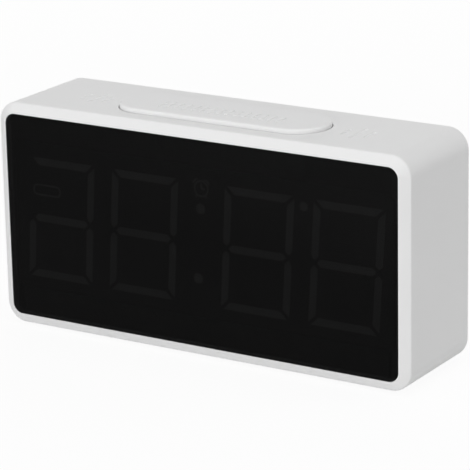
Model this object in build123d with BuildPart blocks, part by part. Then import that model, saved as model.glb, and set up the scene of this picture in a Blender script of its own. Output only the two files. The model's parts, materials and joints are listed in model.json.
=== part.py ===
from build123d import *
import os
from math import cos, dist, pi, radians, sin, sqrt, tan

# A free-standing digital alarm clock: a deep white shell, a smoked mirror lens over four large
# seven-segment digits, a snooze bar on top, and set buttons and a battery bay on the back.
# Millimetres. The origin lies under the middle of the clock on the surface that it stands on:
# +X is to the right of someone facing the lens, +Y runs to the back and +Z is up.

# Body shell
body_width = 150.0
body_height = 74.2
body_depth = 39.5
body_corner = 6.9
shell_wall = 2.2
front_wall = 2.0
rim_width = 3.4
rim_lip = 0.4
rim_depth = 2.0
rim_round = 0.8
back_round = 0.8

# Feet
foot_diameter = 10.0
foot_standoff = 0.6
foot_pocket = 0.6
foot_clearance = 0.1
foot_side_inset = 18.0
foot_end_inset = 9.0

# Mirror lens and the tape that holds it
lens_thickness = 2.0
lens_set_back = 0.15
lens_clearance = 0.1
tape_thickness = 0.25
tape_inset = 0.5
ledge_side = 2.4
ledge_top = 9.6
window_corner = 2.0

# Display block with its light wells
reflector_gap = 0.15
reflector_clearance = 0.2
display_side_margin = 3.925
display_top_margin = 3.75
digit_gap = 6.65
colon_gap = 17.05
stroke = 2.6
segment_gap = 0.8
slant = 3.6
digit_drop = 0.55
diffuser_thickness = 1.2
diffuser_fit = 0.05
dot_diameter = 3.5
colon_offset = 2.0
degree_diameter = 3.0
degree_drop = 1.55
alarm_marker_diameter = 6.4
alarm_marker_gap = 1.65
afternoon_marker_length = 11.0
afternoon_marker_height = 4.0
afternoon_marker_offset = 5.8
peg_diameter = 2.0
peg_inset = 10.0
peg_edge = 1.9
peg_stub = 0.6
peg_clearance = 0.2
led_length = 1.6
led_width = 0.8
led_height = 0.7

# Circuit boards and the screws that hold them
board_thickness = 1.6
board_boss_height = 4.0
board_margin = 3.9
board_clearance = 0.5
board_screw_end_inset = 21.0
board_screw_inset = 3.4
board_boss_diameter = 5.0
screw_shank = 2.2
screw_head = 4.2
screw_head_height = 1.5
board_screw_length = 5.0
pilot_clearance = 0.1
through_clearance = 0.3
tip_clearance = 0.4
cross_length = 2.4
cross_width = 0.6
cross_depth = 0.7

# Parts on the back of the display board
chip_length = 18.0
chip_width = 7.5
chip_height = 2.3
chip_leg_width = 0.8
chip_leg_reach = 1.4
chip_leg_thickness = 0.5
chip_leg_pitch = 2.0
chip_legs = 8
chip_lead_gap = 0.45
crystal_diameter = 3.0
crystal_length = 8.2
crystal_across = 26.0
capacitor_diameter = 6.3
capacitor_height = 7.0
capacitor_across = -16.0
sensor_length = 3.2
sensor_width = 1.6
sensor_height = 1.2
sensor_end_inset = 13.0

# Grooves in the shell beside the snooze bar, the middle one of three longer
groove_gap = 10.6
groove_pitch = 4.15
groove_length = 6.9
groove_extra = 4.4
groove_width = 1.3
groove_depth = 0.4

# Snooze bar
bar_length = 74.6
bar_front_margin = 7.75
bar_back_margin = 10.55
bar_rise = 1.5
bar_round = 0.8
bar_gap = 0.3
bar_wall = 1.8
bar_roof = 2.0
slot_round = 0.2
flange_lip = 0.9
flange_thickness = 1.2
stop_gap = 0.1
snooze_travel = 1.0
guide_spacing = 44.0
guide_diameter = 3.0
guide_clearance = 0.25
guide_reach = 1.5
actuator_diameter = 4.0
seat_diameter = 6.4
spring_diameter = 5.2
spring_wire = 0.5
spring_turns = 5
snooze_boss_height = 11.0
snooze_boss_diameter = 5.6
snooze_boss_clearance = 0.5
snooze_board_clearance = 0.9
snooze_board_edge = 1.0
snooze_screw_length = 6.0

# Push switches, alike under the snooze bar and the back buttons
switch_side = 6.0
switch_height = 3.5
switch_corner = 0.5
plunger_diameter = 3.4
plunger_rise = 1.6
plunger_engage = 1.0
plunger_clearance = 0.15
plunger_spare = 0.2

# Rear cover
cover_recess = 1.2
cover_thickness = 2.0
cover_clearance = 0.15
cover_boss_diameter = 8.0
cover_boss_overlap = 0.4
cover_screw_head = 4.6
cover_screw_head_height = 1.1
cover_screw_length = 9.0
counterbore_clearance = 0.3
counterbore_depth = 1.2

# Battery bay for three cells of the slim penlight size
cell_count = 3
cell_diameter = 10.3
cell_length = 43.6
cell_round = 0.4
nub_diameter = 3.8
nub_length = 0.9
cell_gap = 0.4
cell_door_gap = 0.5
cell_floor_gap = 0.3
bay_wall = 1.6
bay_margin = 7.0
bay_drop = 2.5
frame_wall = 2.0
frame_drop = 2.2
contact_side = 8.0
contact_thickness = 0.4
bump_diameter = 4.0
bump_height = 0.5
contact_spring_length = 4.6
contact_spring_wire = 0.5
contact_spring_base = 3.4
contact_spring_tip = 2.0
contact_spring_turns = 3
contact_embed = 0.15
contact_touch = 0.05
tail_width = 3.0
tail_out = 0.8
tail_clearance = 0.1
lead_diameter = 1.2
lead_run = 3.2
lead_bend = 2.4

# Battery door
door_thickness = 1.8
door_gap = 0.25
door_ledge = 1.5
door_seat_gap = 0.1
door_corner = 1.5
hook_spacing = 28.0
hook_width = 6.0
hook_thickness = 1.1
hook_root = 1.6
hook_reach = 1.8
hook_gap = 0.15
hook_clearance = 0.5
latch_width = 12.0
latch_length = 7.0
latch_slit = 0.7
thumb_width = 14.0
thumb_height = 4.0
thumb_depth = 0.9

# Set buttons, alarm switch, power inlet and buzzer on the back
button_diameter = 7.0
button_rise = 0.8
button_round = 0.5
button_clearance = 0.2
button_flange = 9.0
button_travel = 0.7
button_row_rise = 10.0
button_end_gaps = 2.25
button_board_height = 44.0
button_board_margin = 7.0
button_board_screw_inset = 4.0
button_boss_diameter = 5.0
lead_room = 9.0
control_row_drop = 9.0
control_end_gaps = 1.5
slide_body_length = 9.0
slide_body_width = 4.4
slide_body_height = 3.6
slide_travel = 3.0
slide_stem = 1.8
slide_stem_engage = 1.6
slide_stem_clearance = 0.2
slide_plate_length = 10.0
slide_plate_width = 5.6
slide_plate_thickness = 0.9
slide_knob_length = 4.4
slide_knob_width = 3.0
slide_knob_rise = 0.7
slide_knob_clearance = 0.2
inlet_width = 9.0
inlet_height = 3.3
inlet_wall = 0.35
inlet_mouth = 6.0
inlet_set_back = 0.2
inlet_clearance = 0.2
tongue_width = 6.6
tongue_thickness = 0.7
tongue_length = 4.5
buzzer_diameter = 12.0
buzzer_gap = 0.5
buzzer_hole = 2.5
buzzer_hole_depth = 1.0
sound_hole = 1.6
sound_ring = 3.2
sound_ring_holes = 6

# Internal leads
socket_length = 12.0
socket_width = 5.0
socket_height = 4.5
display_socket_drop = 17.0
button_socket_drop = 4.0
ribbon_width = 10.0
ribbon_thickness = 0.6
ribbon_bends = 4.65
snooze_lead_end_inset = 14.8
snooze_lead_pitch = 2.0
snooze_lead_drop = 6.0
snooze_lead_back = 5.0

# Heights and depths that follow; a depth is measured back from the front of the rim
BACK = (0, 1, 0)
FRONT = (0, -1, 0)
front_y = -body_depth / 2
base_z = foot_standoff
top_z = base_z + body_height
mid_z = base_z + body_height / 2
lens_back = lens_set_back + lens_thickness
recess_depth = lens_back + tape_thickness
ledge_back = recess_depth + front_wall
reflector_front = lens_back + reflector_gap
board_front = ledge_back + board_boss_height
board_back = board_front + board_thickness
cover_back = body_depth - cover_recess
cover_front = cover_back - cover_thickness

# Lens, window and cavity outlines
lens_opening_width = body_width - 2 * rim_width
lens_opening_height = body_height - 2 * rim_width
lens_opening_corner = body_corner - rim_width
window_width = lens_opening_width - 2 * ledge_side
window_height = lens_opening_height - 2 * ledge_top
cavity_width = body_width - 2 * shell_wall
cavity_height = body_height - 2 * shell_wall
cavity_corner = body_corner - shell_wall
reflector_width = window_width - 2 * reflector_clearance
reflector_height = window_height - 2 * reflector_clearance
reflector_corner = window_corner - reflector_clearance

# Digits fill the display block between its margins
digit_outline = (reflector_width - 2 * display_side_margin - 2 * digit_gap - colon_gap) / 4
digit_half = (digit_outline - stroke) / 2
digit_rise = (reflector_height - 2 * display_top_margin - stroke) / 2
inner_digit_x = (colon_gap + digit_outline) / 2
outer_digit_x = inner_digit_x + digit_outline + digit_gap
digit_centres = (-outer_digit_x, -inner_digit_x, inner_digit_x, outer_digit_x)
digit_segments = ("abcdeg", "abcdefg", "abcdefg", "abcdefg")
slant_slope = tan(radians(slant))
colon_rise = digit_rise / 2 + colon_offset
alarm_marker_rise = colon_rise + dot_diameter / 2 + alarm_marker_gap + alarm_marker_diameter / 2

# Display board and its screws
board_width = reflector_width
board_height = cavity_height - 2 * board_margin
board_screw_x = board_width / 2 - board_screw_end_inset
board_screw_rise = board_height / 2 - board_screw_inset
board_screw_points = [
    (side * board_screw_x, end * board_screw_rise) for side in (-1, 1) for end in (-1, 1)
]
peg_points = [
    (side * (reflector_width / 2 - peg_inset), end * (reflector_height / 2 - peg_edge))
    for side in (-1, 1)
    for end in (-1, 1)
]
pilot = screw_shank + pilot_clearance
through_hole = screw_shank + through_clearance

# Snooze bar and what is under it
bar_depth = body_depth - bar_front_margin - bar_back_margin
bar_depth_centre = bar_front_margin + bar_depth / 2
bar_y = front_y + bar_depth_centre
middle_groove_x = bar_length / 2 + groove_gap
middle_groove_points = [(-middle_groove_x, 0), (middle_groove_x, 0)]
outer_groove_points = [
    (side * (middle_groove_x + step * groove_pitch), 0) for side in (-1, 1) for step in (-1, 1)
]
inner_top_z = top_z - shell_wall
bar_top_z = top_z + bar_rise
bar_roof_z = bar_top_z - bar_roof
flange_top_z = inner_top_z - stop_gap
flange_bottom_z = flange_top_z - flange_thickness
snooze_board_top_z = inner_top_z - snooze_boss_height
snooze_board_bottom_z = snooze_board_top_z - board_thickness
snooze_boss_x = bar_length / 2 + flange_lip + snooze_boss_clearance + snooze_boss_diameter / 2
snooze_board_length = 2 * (snooze_boss_x + snooze_boss_diameter / 2 + snooze_board_edge)
snooze_board_depth = 2 * (bar_depth_centre - board_back - snooze_board_clearance)
guide_hole = guide_diameter + 2 * guide_clearance
plunger_bore = plunger_diameter + 2 * plunger_clearance
switch_bore_depth = plunger_engage + max(snooze_travel, button_travel) + plunger_spare

# Rear cover outline and its screws
cover_width = cavity_width - 2 * cover_clearance
cover_height = cavity_height - 2 * cover_clearance
cover_corner = cavity_corner - cover_clearance
cover_boss_x = (cavity_width - cover_boss_diameter) / 2 + cover_boss_overlap
cover_boss_rise = (cavity_height - cover_boss_diameter) / 2 + cover_boss_overlap
cover_screw_points = [(side * cover_boss_x, end * cover_boss_rise) for side in (-1, 1) for end in (-1, 1)]
cover_screw_seat = cover_back - counterbore_depth

# Battery bay and door
cell_pitch = cell_diameter + cell_gap
cell_total = cell_length + nub_length
bay_length = 2 * contact_thickness + bump_height + cell_total + contact_spring_length
bay_height = cell_count * cell_pitch + cell_gap
door_width = bay_length + 2 * door_ledge
door_height = bay_height + 2 * door_ledge
frame_width = door_width + 2 * (door_gap + frame_wall)
frame_height = door_height + 2 * (door_gap + frame_wall)
bay_x = cover_width / 2 - bay_margin - frame_width / 2
bay_left = bay_x - bay_length / 2
bay_right = bay_x + bay_length / 2
door_front = cover_back - door_thickness
door_seat = door_front - door_seat_gap
door_top = -bay_drop + door_height / 2
cell_centre = door_front - cell_door_gap - cell_diameter / 2
bay_floor = cell_centre - cell_diameter / 2 - cell_floor_gap
cell_rises = [-bay_drop + (row - (cell_count - 1) / 2) * cell_pitch for row in range(cell_count)]
chip_drop = -cell_rises[0] - lead_diameter / 2 - chip_lead_gap - chip_leg_reach - chip_width / 2
cell_headings = [-1 if row % 2 == 0 else 1 for row in range(cell_count)]
hook_back = cover_front - hook_gap
hook_front = hook_back - hook_thickness
hook_sweep = sqrt((cover_back - hook_front) ** 2 + hook_reach**2) + hook_clearance
hook_slot_front = cover_back - hook_sweep
hook_points = [bay_x - hook_spacing / 2, bay_x + hook_spacing / 2]

# Button board: the switches fill the height between it and the buttons' flanges
button_flange_back = cover_front - stop_gap
button_flange_front = button_flange_back - flange_thickness
button_board_back = button_flange_front - plunger_rise - switch_height
button_board_front = button_board_back - board_thickness
button_board_left = -cover_width / 2 + button_board_margin
button_board_right = bay_x - frame_width / 2 - lead_room
button_board_width = button_board_right - button_board_left
button_board_x = (button_board_left + button_board_right) / 2
button_names = ("time_button", "alarm_button", "up_button", "down_button")
button_board_screw_points = [
    (
        button_board_x + side * (button_board_width / 2 - button_board_screw_inset),
        end * (button_board_height / 2 - button_board_screw_inset),
    )
    for side in (-1, 1)
    for end in (-1, 1)
]


def spread_row(widths, end_gaps, rise):
    """Points of a row on the button board, from its right end, with even gaps and wider ends."""
    gap = (button_board_width - sum(widths)) / (len(widths) - 1 + 2 * end_gaps)
    edge = button_board_right - end_gaps * gap
    points = []
    for width in widths:
        points.append((edge - width / 2, rise))
        edge -= width + gap
    return points


button_points = spread_row([button_flange] * len(button_names), button_end_gaps, button_row_rise)
slide_point, buzzer_point, inlet_point = spread_row(
    [slide_plate_length + slide_travel, buzzer_diameter, inlet_width], control_end_gaps, -control_row_drop
)
slide_rest = (slide_point[0] - slide_travel / 2, slide_point[1])


def upright(depth, x=0.0, rise=0.0):
    """Plane parallel to the lens at a depth behind the rim: its x is +X and its y is +Z."""
    return Plane(origin=(x, front_y + depth, mid_z + rise), x_dir=(1, 0, 0), z_dir=FRONT)


def level(z, y=0.0):
    """Level plane at a height, facing up."""
    return Plane(origin=(0, y, z))


def endwise(x, depth, rise, heading):
    """Plane square to X that faces along its heading, for cells and their contacts."""
    return Plane(origin=(x, front_y + depth, mid_z + rise), x_dir=(0, 0, 1), z_dir=(heading, 0, 0))


def flipped(points, across, upward):
    """Mirror an outline, keeping its turning direction."""
    moved = [(across * x, upward * z) for x, z in points]
    return moved if across * upward > 0 else moved[::-1]


def segment_outline(name, centre_x, fit=0.0):
    """Mitred outline of one digit segment, slanted like the digit."""
    half = stroke / 2 - fit
    gap = segment_gap + fit
    outer = digit_half + half - gap
    inner = digit_half - half - gap
    bar = [(-inner, digit_rise - half), (inner, digit_rise - half), (outer, digit_rise + half)]
    bar.append((-outer, digit_rise + half))
    post = [(digit_half, gap), (digit_half + half, half + gap), (digit_half + half, digit_rise + half - gap)]
    post += [(digit_half - half, digit_rise - half - gap), (digit_half - half, half + gap)]
    middle = [(-inner, -half), (inner, -half), (digit_half - gap, 0), (inner, half), (-inner, half)]
    middle.append((gap - digit_half, 0))
    outlines = {
        "a": bar,
        "b": post,
        "c": flipped(post, 1, -1),
        "d": flipped(bar, 1, -1),
        "e": flipped(post, -1, -1),
        "f": flipped(post, -1, 1),
        "g": middle,
    }
    return [(centre_x + x + z * slant_slope, z - digit_drop) for x, z in outlines[name]]


def segment_centre(name, centre_x):
    """Middle of one digit segment, where its light stands."""
    across = {"a": 0, "b": 1, "c": 1, "d": 0, "e": -1, "f": -1, "g": 0}[name] * digit_half
    rise = {"a": 1, "b": 0.5, "c": -0.5, "d": -1, "e": -0.5, "f": 0.5, "g": 0}[name] * digit_rise
    return (centre_x + across + rise * slant_slope, rise - digit_drop)


def slanted(x, rise):
    """Place of a small marker on the slanted display."""
    return (x + rise * slant_slope, rise - digit_drop)


colon_points = [slanted(0, colon_rise), slanted(0, -colon_rise)]
degree_point = slanted((inner_digit_x + outer_digit_x) / 2, digit_rise - degree_drop)
alarm_marker_point = slanted(0, alarm_marker_rise)
afternoon_marker_point = slanted(-outer_digit_x - afternoon_marker_offset, digit_rise / 2)
marker_points = colon_points + [degree_point, alarm_marker_point, afternoon_marker_point]
segment_places = [
    (name, centre_x) for names, centre_x in zip(digit_segments, digit_centres) for name in names
]


def coil_place(start_radius, end_radius, length, turns, share):
    """Point and unit heading on a coil about the Z axis, a share of the way along it."""
    angle = 2 * pi * turns * share
    radius = start_radius + (end_radius - start_radius) * share
    point = Vector(radius * cos(angle), radius * sin(angle), length * share)
    swing = 2 * pi * turns * radius
    drift = end_radius - start_radius
    heading = Vector(
        drift * cos(angle) - swing * sin(angle), drift * sin(angle) + swing * cos(angle), length
    )
    return point, heading.normalized()


def biarc_joint(start, start_heading, end, end_heading):
    """Point where two tangent arcs meet between two headed points."""
    chord = end - start
    square = 2 * (start_heading.dot(end_heading) - 1)
    linear = -2 * chord.dot(start_heading + end_heading)
    reach = (-linear - sqrt(linear**2 - 4 * square * chord.dot(chord))) / (2 * square)
    return (start + start_heading * reach + end - end_heading * reach) / 2


def sweep_coil(plane, start_radius, end_radius, length, turns, wire):
    """Add one unbroken coil of round wire along a plane's normal, each quarter turn two tangent arcs."""
    quarters = 4 * turns
    marks = []
    for quarter in range(quarters + 1):
        point, heading = coil_place(start_radius, end_radius, length, turns, quarter / quarters)
        marks.append((plane.from_local_coords(point), plane.from_local_coords(heading) - plane.origin))
    with BuildLine() as path:
        for (start, start_heading), (end, end_heading) in zip(marks, marks[1:]):
            joint = biarc_joint(start, start_heading, end, end_heading)
            first_arc = TangentArc(start, joint, tangent=start_heading)
            TangentArc(joint, end, tangent=first_arc % 1)
    with BuildSketch(Plane(origin=path.line @ 0, z_dir=path.line % 0)) as wire_end:
        Circle(wire / 2)
    sweep(wire_end.sketch, path=path.line)


def coil_gap(start_radius, end_radius, length, turns, wire):
    """Least gap between one turn and the next, measured on points."""
    samples = 36
    count = samples * turns
    shares = [step / count for step in range(count + 1)]
    places = [tuple(coil_place(start_radius, end_radius, length, turns, share)[0]) for share in shares]
    pairs = [
        dist(places[first], places[second])
        for first in range(count + 1)
        for second in range(first + samples // 2, count + 1)
    ]
    return min(pairs) - wire


# Housing
with BuildPart() as housing:
    with BuildSketch(upright(0)):
        RectangleRounded(body_width, body_height, body_corner)
    extrude(amount=body_depth, dir=BACK)
    fillet(housing.faces().sort_by(Axis.Y)[-1].edges(), back_round)
    front_face = housing.faces().sort_by(Axis.Y)[0]
    chamfer(front_face.edges(), rim_width - rim_lip, rim_depth, reference=front_face)
    fillet(housing.edges().group_by(Axis.Y)[2], rim_round)
    with BuildSketch(upright(0)):
        RectangleRounded(lens_opening_width, lens_opening_height, lens_opening_corner)
    extrude(amount=recess_depth, dir=BACK, mode=Mode.SUBTRACT)
    with BuildSketch(upright(recess_depth)):
        RectangleRounded(window_width, window_height, window_corner)
    extrude(amount=front_wall, dir=BACK, mode=Mode.SUBTRACT)
    with BuildSketch(upright(ledge_back)):
        RectangleRounded(cavity_width, cavity_height, cavity_corner)
    extrude(amount=body_depth - ledge_back, dir=BACK, mode=Mode.SUBTRACT)
    with BuildSketch(level(top_z, bar_y)):
        SlotOverall(bar_length + 2 * bar_gap, bar_depth + 2 * bar_gap)
    extrude(amount=-shell_wall, mode=Mode.SUBTRACT)
    fillet(housing.faces().filter_by(Axis.Z).sort_by(Axis.Z)[-1].inner_wires().edges(), slot_round)
    with BuildSketch(level(top_z, bar_y)):
        with Locations(*middle_groove_points):
            SlotOverall(groove_length + groove_extra, groove_width, rotation=90)
        with Locations(*outer_groove_points):
            SlotOverall(groove_length, groove_width, rotation=90)
    extrude(amount=-groove_depth, mode=Mode.SUBTRACT)
    with BuildSketch(upright(ledge_back)):
        with Locations(*cover_screw_points):
            Circle(cover_boss_diameter / 2)
    extrude(amount=cover_front - ledge_back, dir=BACK)
    with BuildSketch(upright(cover_front)):
        with Locations(*cover_screw_points):
            Circle(pilot / 2)
    extrude(amount=cover_screw_length + tip_clearance, dir=FRONT, mode=Mode.SUBTRACT)
    with BuildSketch(upright(ledge_back)):
        with Locations(*board_screw_points):
            Circle(board_boss_diameter / 2)
    extrude(amount=board_boss_height, dir=BACK)
    with BuildSketch(upright(board_front)):
        with Locations(*board_screw_points):
            Circle(pilot / 2)
    extrude(amount=board_screw_length - board_thickness + tip_clearance, dir=FRONT, mode=Mode.SUBTRACT)
    with BuildSketch(level(inner_top_z, bar_y)):
        with Locations((-snooze_boss_x, 0), (snooze_boss_x, 0)):
            Circle(snooze_boss_diameter / 2)
    extrude(amount=-snooze_boss_height)
    with BuildSketch(level(snooze_board_top_z, bar_y)):
        with Locations((-snooze_boss_x, 0), (snooze_boss_x, 0)):
            Circle(pilot / 2)
    extrude(amount=snooze_screw_length - board_thickness + tip_clearance, mode=Mode.SUBTRACT)
    with BuildSketch(level(base_z)):
        with GridLocations(body_width - 2 * foot_side_inset, body_depth - 2 * foot_end_inset, 2, 2):
            Circle(foot_diameter / 2 + foot_clearance)
    extrude(amount=foot_pocket, mode=Mode.SUBTRACT)

# Rubber feet, seated in their pockets
with BuildPart() as foot_pads:
    with BuildSketch(level(0)):
        with GridLocations(body_width - 2 * foot_side_inset, body_depth - 2 * foot_end_inset, 2, 2):
            Circle(foot_diameter / 2)
    extrude(amount=foot_standoff + foot_pocket)

# Mirror lens
with BuildPart() as front_lens:
    with BuildSketch(upright(lens_set_back)):
        RectangleRounded(
            lens_opening_width - 2 * lens_clearance,
            lens_opening_height - 2 * lens_clearance,
            lens_opening_corner - lens_clearance,
        )
    extrude(amount=lens_thickness, dir=BACK)

# Tape frame between the lens and its ledge
with BuildPart() as lens_tape:
    with BuildSketch(upright(lens_back)):
        RectangleRounded(
            lens_opening_width - 2 * tape_inset,
            lens_opening_height - 2 * tape_inset,
            lens_opening_corner - tape_inset,
        )
        RectangleRounded(
            window_width + 2 * tape_inset,
            window_height + 2 * tape_inset,
            window_corner + tape_inset,
            mode=Mode.SUBTRACT,
        )
    extrude(amount=tape_thickness, dir=BACK)

# Display block: a dark moulding with one open light well for each segment and marker
with BuildPart() as display_reflector:
    with BuildSketch(upright(reflector_front)):
        RectangleRounded(reflector_width, reflector_height, reflector_corner)
        for name, centre_x in segment_places:
            Polygon(*segment_outline(name, centre_x), align=None, mode=Mode.SUBTRACT)
        with Locations(*colon_points):
            Circle(dot_diameter / 2, mode=Mode.SUBTRACT)
        with Locations(degree_point):
            Circle(degree_diameter / 2, mode=Mode.SUBTRACT)
        with Locations(alarm_marker_point):
            Circle(alarm_marker_diameter / 2, mode=Mode.SUBTRACT)
        with Locations(afternoon_marker_point):
            SlotOverall(afternoon_marker_length, afternoon_marker_height, mode=Mode.SUBTRACT)
    extrude(amount=board_front - reflector_front, dir=BACK)
    with BuildSketch(upright(board_front)):
        with Locations(*peg_points):
            Circle(peg_diameter / 2)
    extrude(amount=board_thickness + peg_stub, dir=BACK)

# Pale diffusers that close the wells of each digit
digits = []
for number, (names, centre_x) in enumerate(zip(digit_segments, digit_centres), start=1):
    with BuildPart() as digit:
        with BuildSketch(upright(reflector_front)):
            for name in names:
                Polygon(*segment_outline(name, centre_x, diffuser_fit), align=None)
        extrude(amount=diffuser_thickness, dir=BACK)
    digit.part.label = f"digit_{number}_segments"
    digits.append(digit)

# Diffusers of the colon, the degree dot and the two markers
with BuildPart() as colon_dots:
    with BuildSketch(upright(reflector_front)):
        with Locations(*colon_points):
            Circle(dot_diameter / 2 - diffuser_fit)
    extrude(amount=diffuser_thickness, dir=BACK)

with BuildPart() as degree_dot:
    with BuildSketch(upright(reflector_front)):
        with Locations(degree_point):
            Circle(degree_diameter / 2 - diffuser_fit)
    extrude(amount=diffuser_thickness, dir=BACK)

with BuildPart() as alarm_marker:
    with BuildSketch(upright(reflector_front)):
        with Locations(alarm_marker_point):
            Circle(alarm_marker_diameter / 2 - diffuser_fit)
    extrude(amount=diffuser_thickness, dir=BACK)

with BuildPart() as afternoon_marker:
    with BuildSketch(upright(reflector_front)):
        with Locations(afternoon_marker_point):
            SlotOverall(
                afternoon_marker_length - 2 * diffuser_fit,
                afternoon_marker_height - 2 * diffuser_fit,
            )
    extrude(amount=diffuser_thickness, dir=BACK)

# One light chip in each well
with BuildPart() as segment_leds:
    with BuildSketch(upright(board_front)):
        for name, centre_x in segment_places:
            with Locations(segment_centre(name, centre_x)):
                if name in "adg":
                    Rectangle(led_length, led_width)
                else:
                    Rectangle(led_width, led_length)
        with Locations(*marker_points):
            Rectangle(led_length, led_width)
    extrude(amount=led_height, dir=FRONT)

# Display board, notched at its corners for the long cover bosses
with BuildPart() as display_board:
    with BuildSketch(upright(board_front)):
        Rectangle(board_width, board_height)
        with Locations(*cover_screw_points):
            notch = cover_boss_diameter + 2 * board_clearance
            Rectangle(notch, notch, mode=Mode.SUBTRACT)
        with Locations(*board_screw_points):
            Circle(through_hole / 2, mode=Mode.SUBTRACT)
        with Locations(*peg_points):
            Circle((peg_diameter + peg_clearance) / 2, mode=Mode.SUBTRACT)
    extrude(amount=board_thickness, dir=BACK)

with BuildPart() as display_board_screws:
    with BuildSketch(upright(board_back)):
        with Locations(*board_screw_points):
            Circle(screw_head / 2)
    extrude(amount=screw_head_height, dir=BACK)
    with BuildSketch(upright(board_back)):
        with Locations(*board_screw_points):
            Circle(screw_shank / 2)
    extrude(amount=board_screw_length, dir=FRONT)
    with BuildSketch(upright(board_back + screw_head_height)):
        with Locations(*board_screw_points):
            Rectangle(cross_length, cross_width)
            Rectangle(cross_width, cross_length)
    extrude(amount=cross_depth, dir=FRONT, mode=Mode.SUBTRACT)

# Clock chip with two rows of legs
with BuildPart() as control_chip:
    with BuildSketch(upright(board_back, 0, -chip_drop)):
        with GridLocations(chip_leg_pitch, 0, chip_legs, 1):
            Rectangle(chip_leg_width, chip_width + 2 * chip_leg_reach)
    extrude(amount=chip_leg_thickness, dir=BACK)
    with BuildSketch(upright(board_back, 0, -chip_drop)):
        Rectangle(chip_length, chip_width)
    extrude(amount=chip_height, dir=BACK)

# Quartz crystal can, lying on the board
with BuildPart() as quartz_crystal:
    crystal_depth = board_back + crystal_diameter / 2
    with BuildSketch(endwise(crystal_across, crystal_depth, -chip_drop, 1)):
        Circle(crystal_diameter / 2)
    extrude(amount=crystal_length)
    with BuildSketch(upright(board_back, crystal_across + crystal_length / 2, -chip_drop)):
        Rectangle(crystal_length, crystal_diameter / 2)
    extrude(amount=crystal_diameter / 2, dir=BACK)

with BuildPart() as filter_capacitor:
    with BuildSketch(upright(board_back, capacitor_across, chip_drop)):
        Circle(capacitor_diameter / 2)
    extrude(amount=capacitor_height, dir=BACK)

with BuildPart() as temperature_sensor:
    with BuildSketch(upright(board_back, sensor_end_inset - board_width / 2, -chip_drop)):
        Rectangle(sensor_length, sensor_width)
    extrude(amount=sensor_height, dir=BACK)

# Snooze bar: a hollow cap with a captive flange, two guide posts and a centre actuator
with BuildPart() as snooze_bar:
    with BuildSketch(level(flange_bottom_z, bar_y)):
        SlotOverall(bar_length, bar_depth)
    extrude(amount=bar_top_z - flange_bottom_z)
    fillet(snooze_bar.faces().sort_by(Axis.Z)[-1].edges(), bar_round)
    with BuildSketch(level(flange_bottom_z, bar_y)):
        SlotOverall(bar_length + 2 * flange_lip, bar_depth + 2 * flange_lip)
    extrude(amount=flange_thickness)
    with BuildSketch(level(flange_bottom_z, bar_y)):
        SlotOverall(bar_length - 2 * bar_wall, bar_depth - 2 * bar_wall)
    extrude(amount=bar_roof_z - flange_bottom_z, mode=Mode.SUBTRACT)
    with BuildSketch(level(bar_roof_z, bar_y)):
        with GridLocations(guide_spacing, 0, 2, 1):
            Circle(seat_diameter / 2)
    extrude(amount=flange_bottom_z - bar_roof_z)
    with BuildSketch(level(bar_roof_z, bar_y)):
        with GridLocations(guide_spacing, 0, 2, 1):
            Circle(guide_diameter / 2)
    extrude(amount=snooze_board_bottom_z - guide_reach - bar_roof_z)
    with BuildSketch(level(bar_roof_z, bar_y)):
        Circle(actuator_diameter / 2)
    extrude(amount=snooze_board_top_z + switch_height + plunger_rise - bar_roof_z)

# Two return springs round the guide posts
snooze_spring_radius = (spring_diameter - spring_wire) / 2
snooze_spring_length = flange_bottom_z - snooze_board_top_z - spring_wire - 2 * contact_touch
with BuildPart() as snooze_springs:
    for side in (-1, 1):
        spring_foot = snooze_board_top_z + spring_wire / 2 + contact_touch
        sweep_coil(
            Plane(origin=(side * guide_spacing / 2, bar_y, spring_foot)),
            snooze_spring_radius,
            snooze_spring_radius,
            snooze_spring_length,
            spring_turns,
            spring_wire,
        )

# Small board under the bar, hung on two bosses
with BuildPart() as snooze_board:
    with BuildSketch(level(snooze_board_bottom_z, bar_y)):
        Rectangle(snooze_board_length, snooze_board_depth)
        with GridLocations(guide_spacing, 0, 2, 1):
            Circle(guide_hole / 2, mode=Mode.SUBTRACT)
        with GridLocations(2 * snooze_boss_x, 0, 2, 1):
            Circle(through_hole / 2, mode=Mode.SUBTRACT)
    extrude(amount=board_thickness)

with BuildPart() as snooze_board_screws:
    with BuildSketch(level(snooze_board_bottom_z, bar_y)):
        with GridLocations(2 * snooze_boss_x, 0, 2, 1):
            Circle(screw_head / 2)
    extrude(amount=-screw_head_height)
    with BuildSketch(level(snooze_board_bottom_z, bar_y)):
        with GridLocations(2 * snooze_boss_x, 0, 2, 1):
            Circle(screw_shank / 2)
    extrude(amount=snooze_screw_length)
    with BuildSketch(level(snooze_board_bottom_z - screw_head_height, bar_y)):
        with GridLocations(2 * snooze_boss_x, 0, 2, 1):
            Rectangle(cross_length, cross_width)
            Rectangle(cross_width, cross_length)
    extrude(amount=cross_depth, mode=Mode.SUBTRACT)

# Push switch under the actuator: a body with a bore, and its plunger
with BuildPart() as snooze_switch:
    with BuildSketch(level(snooze_board_top_z, bar_y)):
        RectangleRounded(switch_side, switch_side, switch_corner)
    extrude(amount=switch_height)
    with BuildSketch(level(snooze_board_top_z + switch_height, bar_y)):
        Circle(plunger_bore / 2)
    extrude(amount=-switch_bore_depth, mode=Mode.SUBTRACT)

with BuildPart() as snooze_plunger:
    with BuildSketch(level(snooze_board_top_z + switch_height - plunger_engage, bar_y)):
        Circle(plunger_diameter / 2)
    extrude(amount=plunger_engage + plunger_rise)

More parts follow.
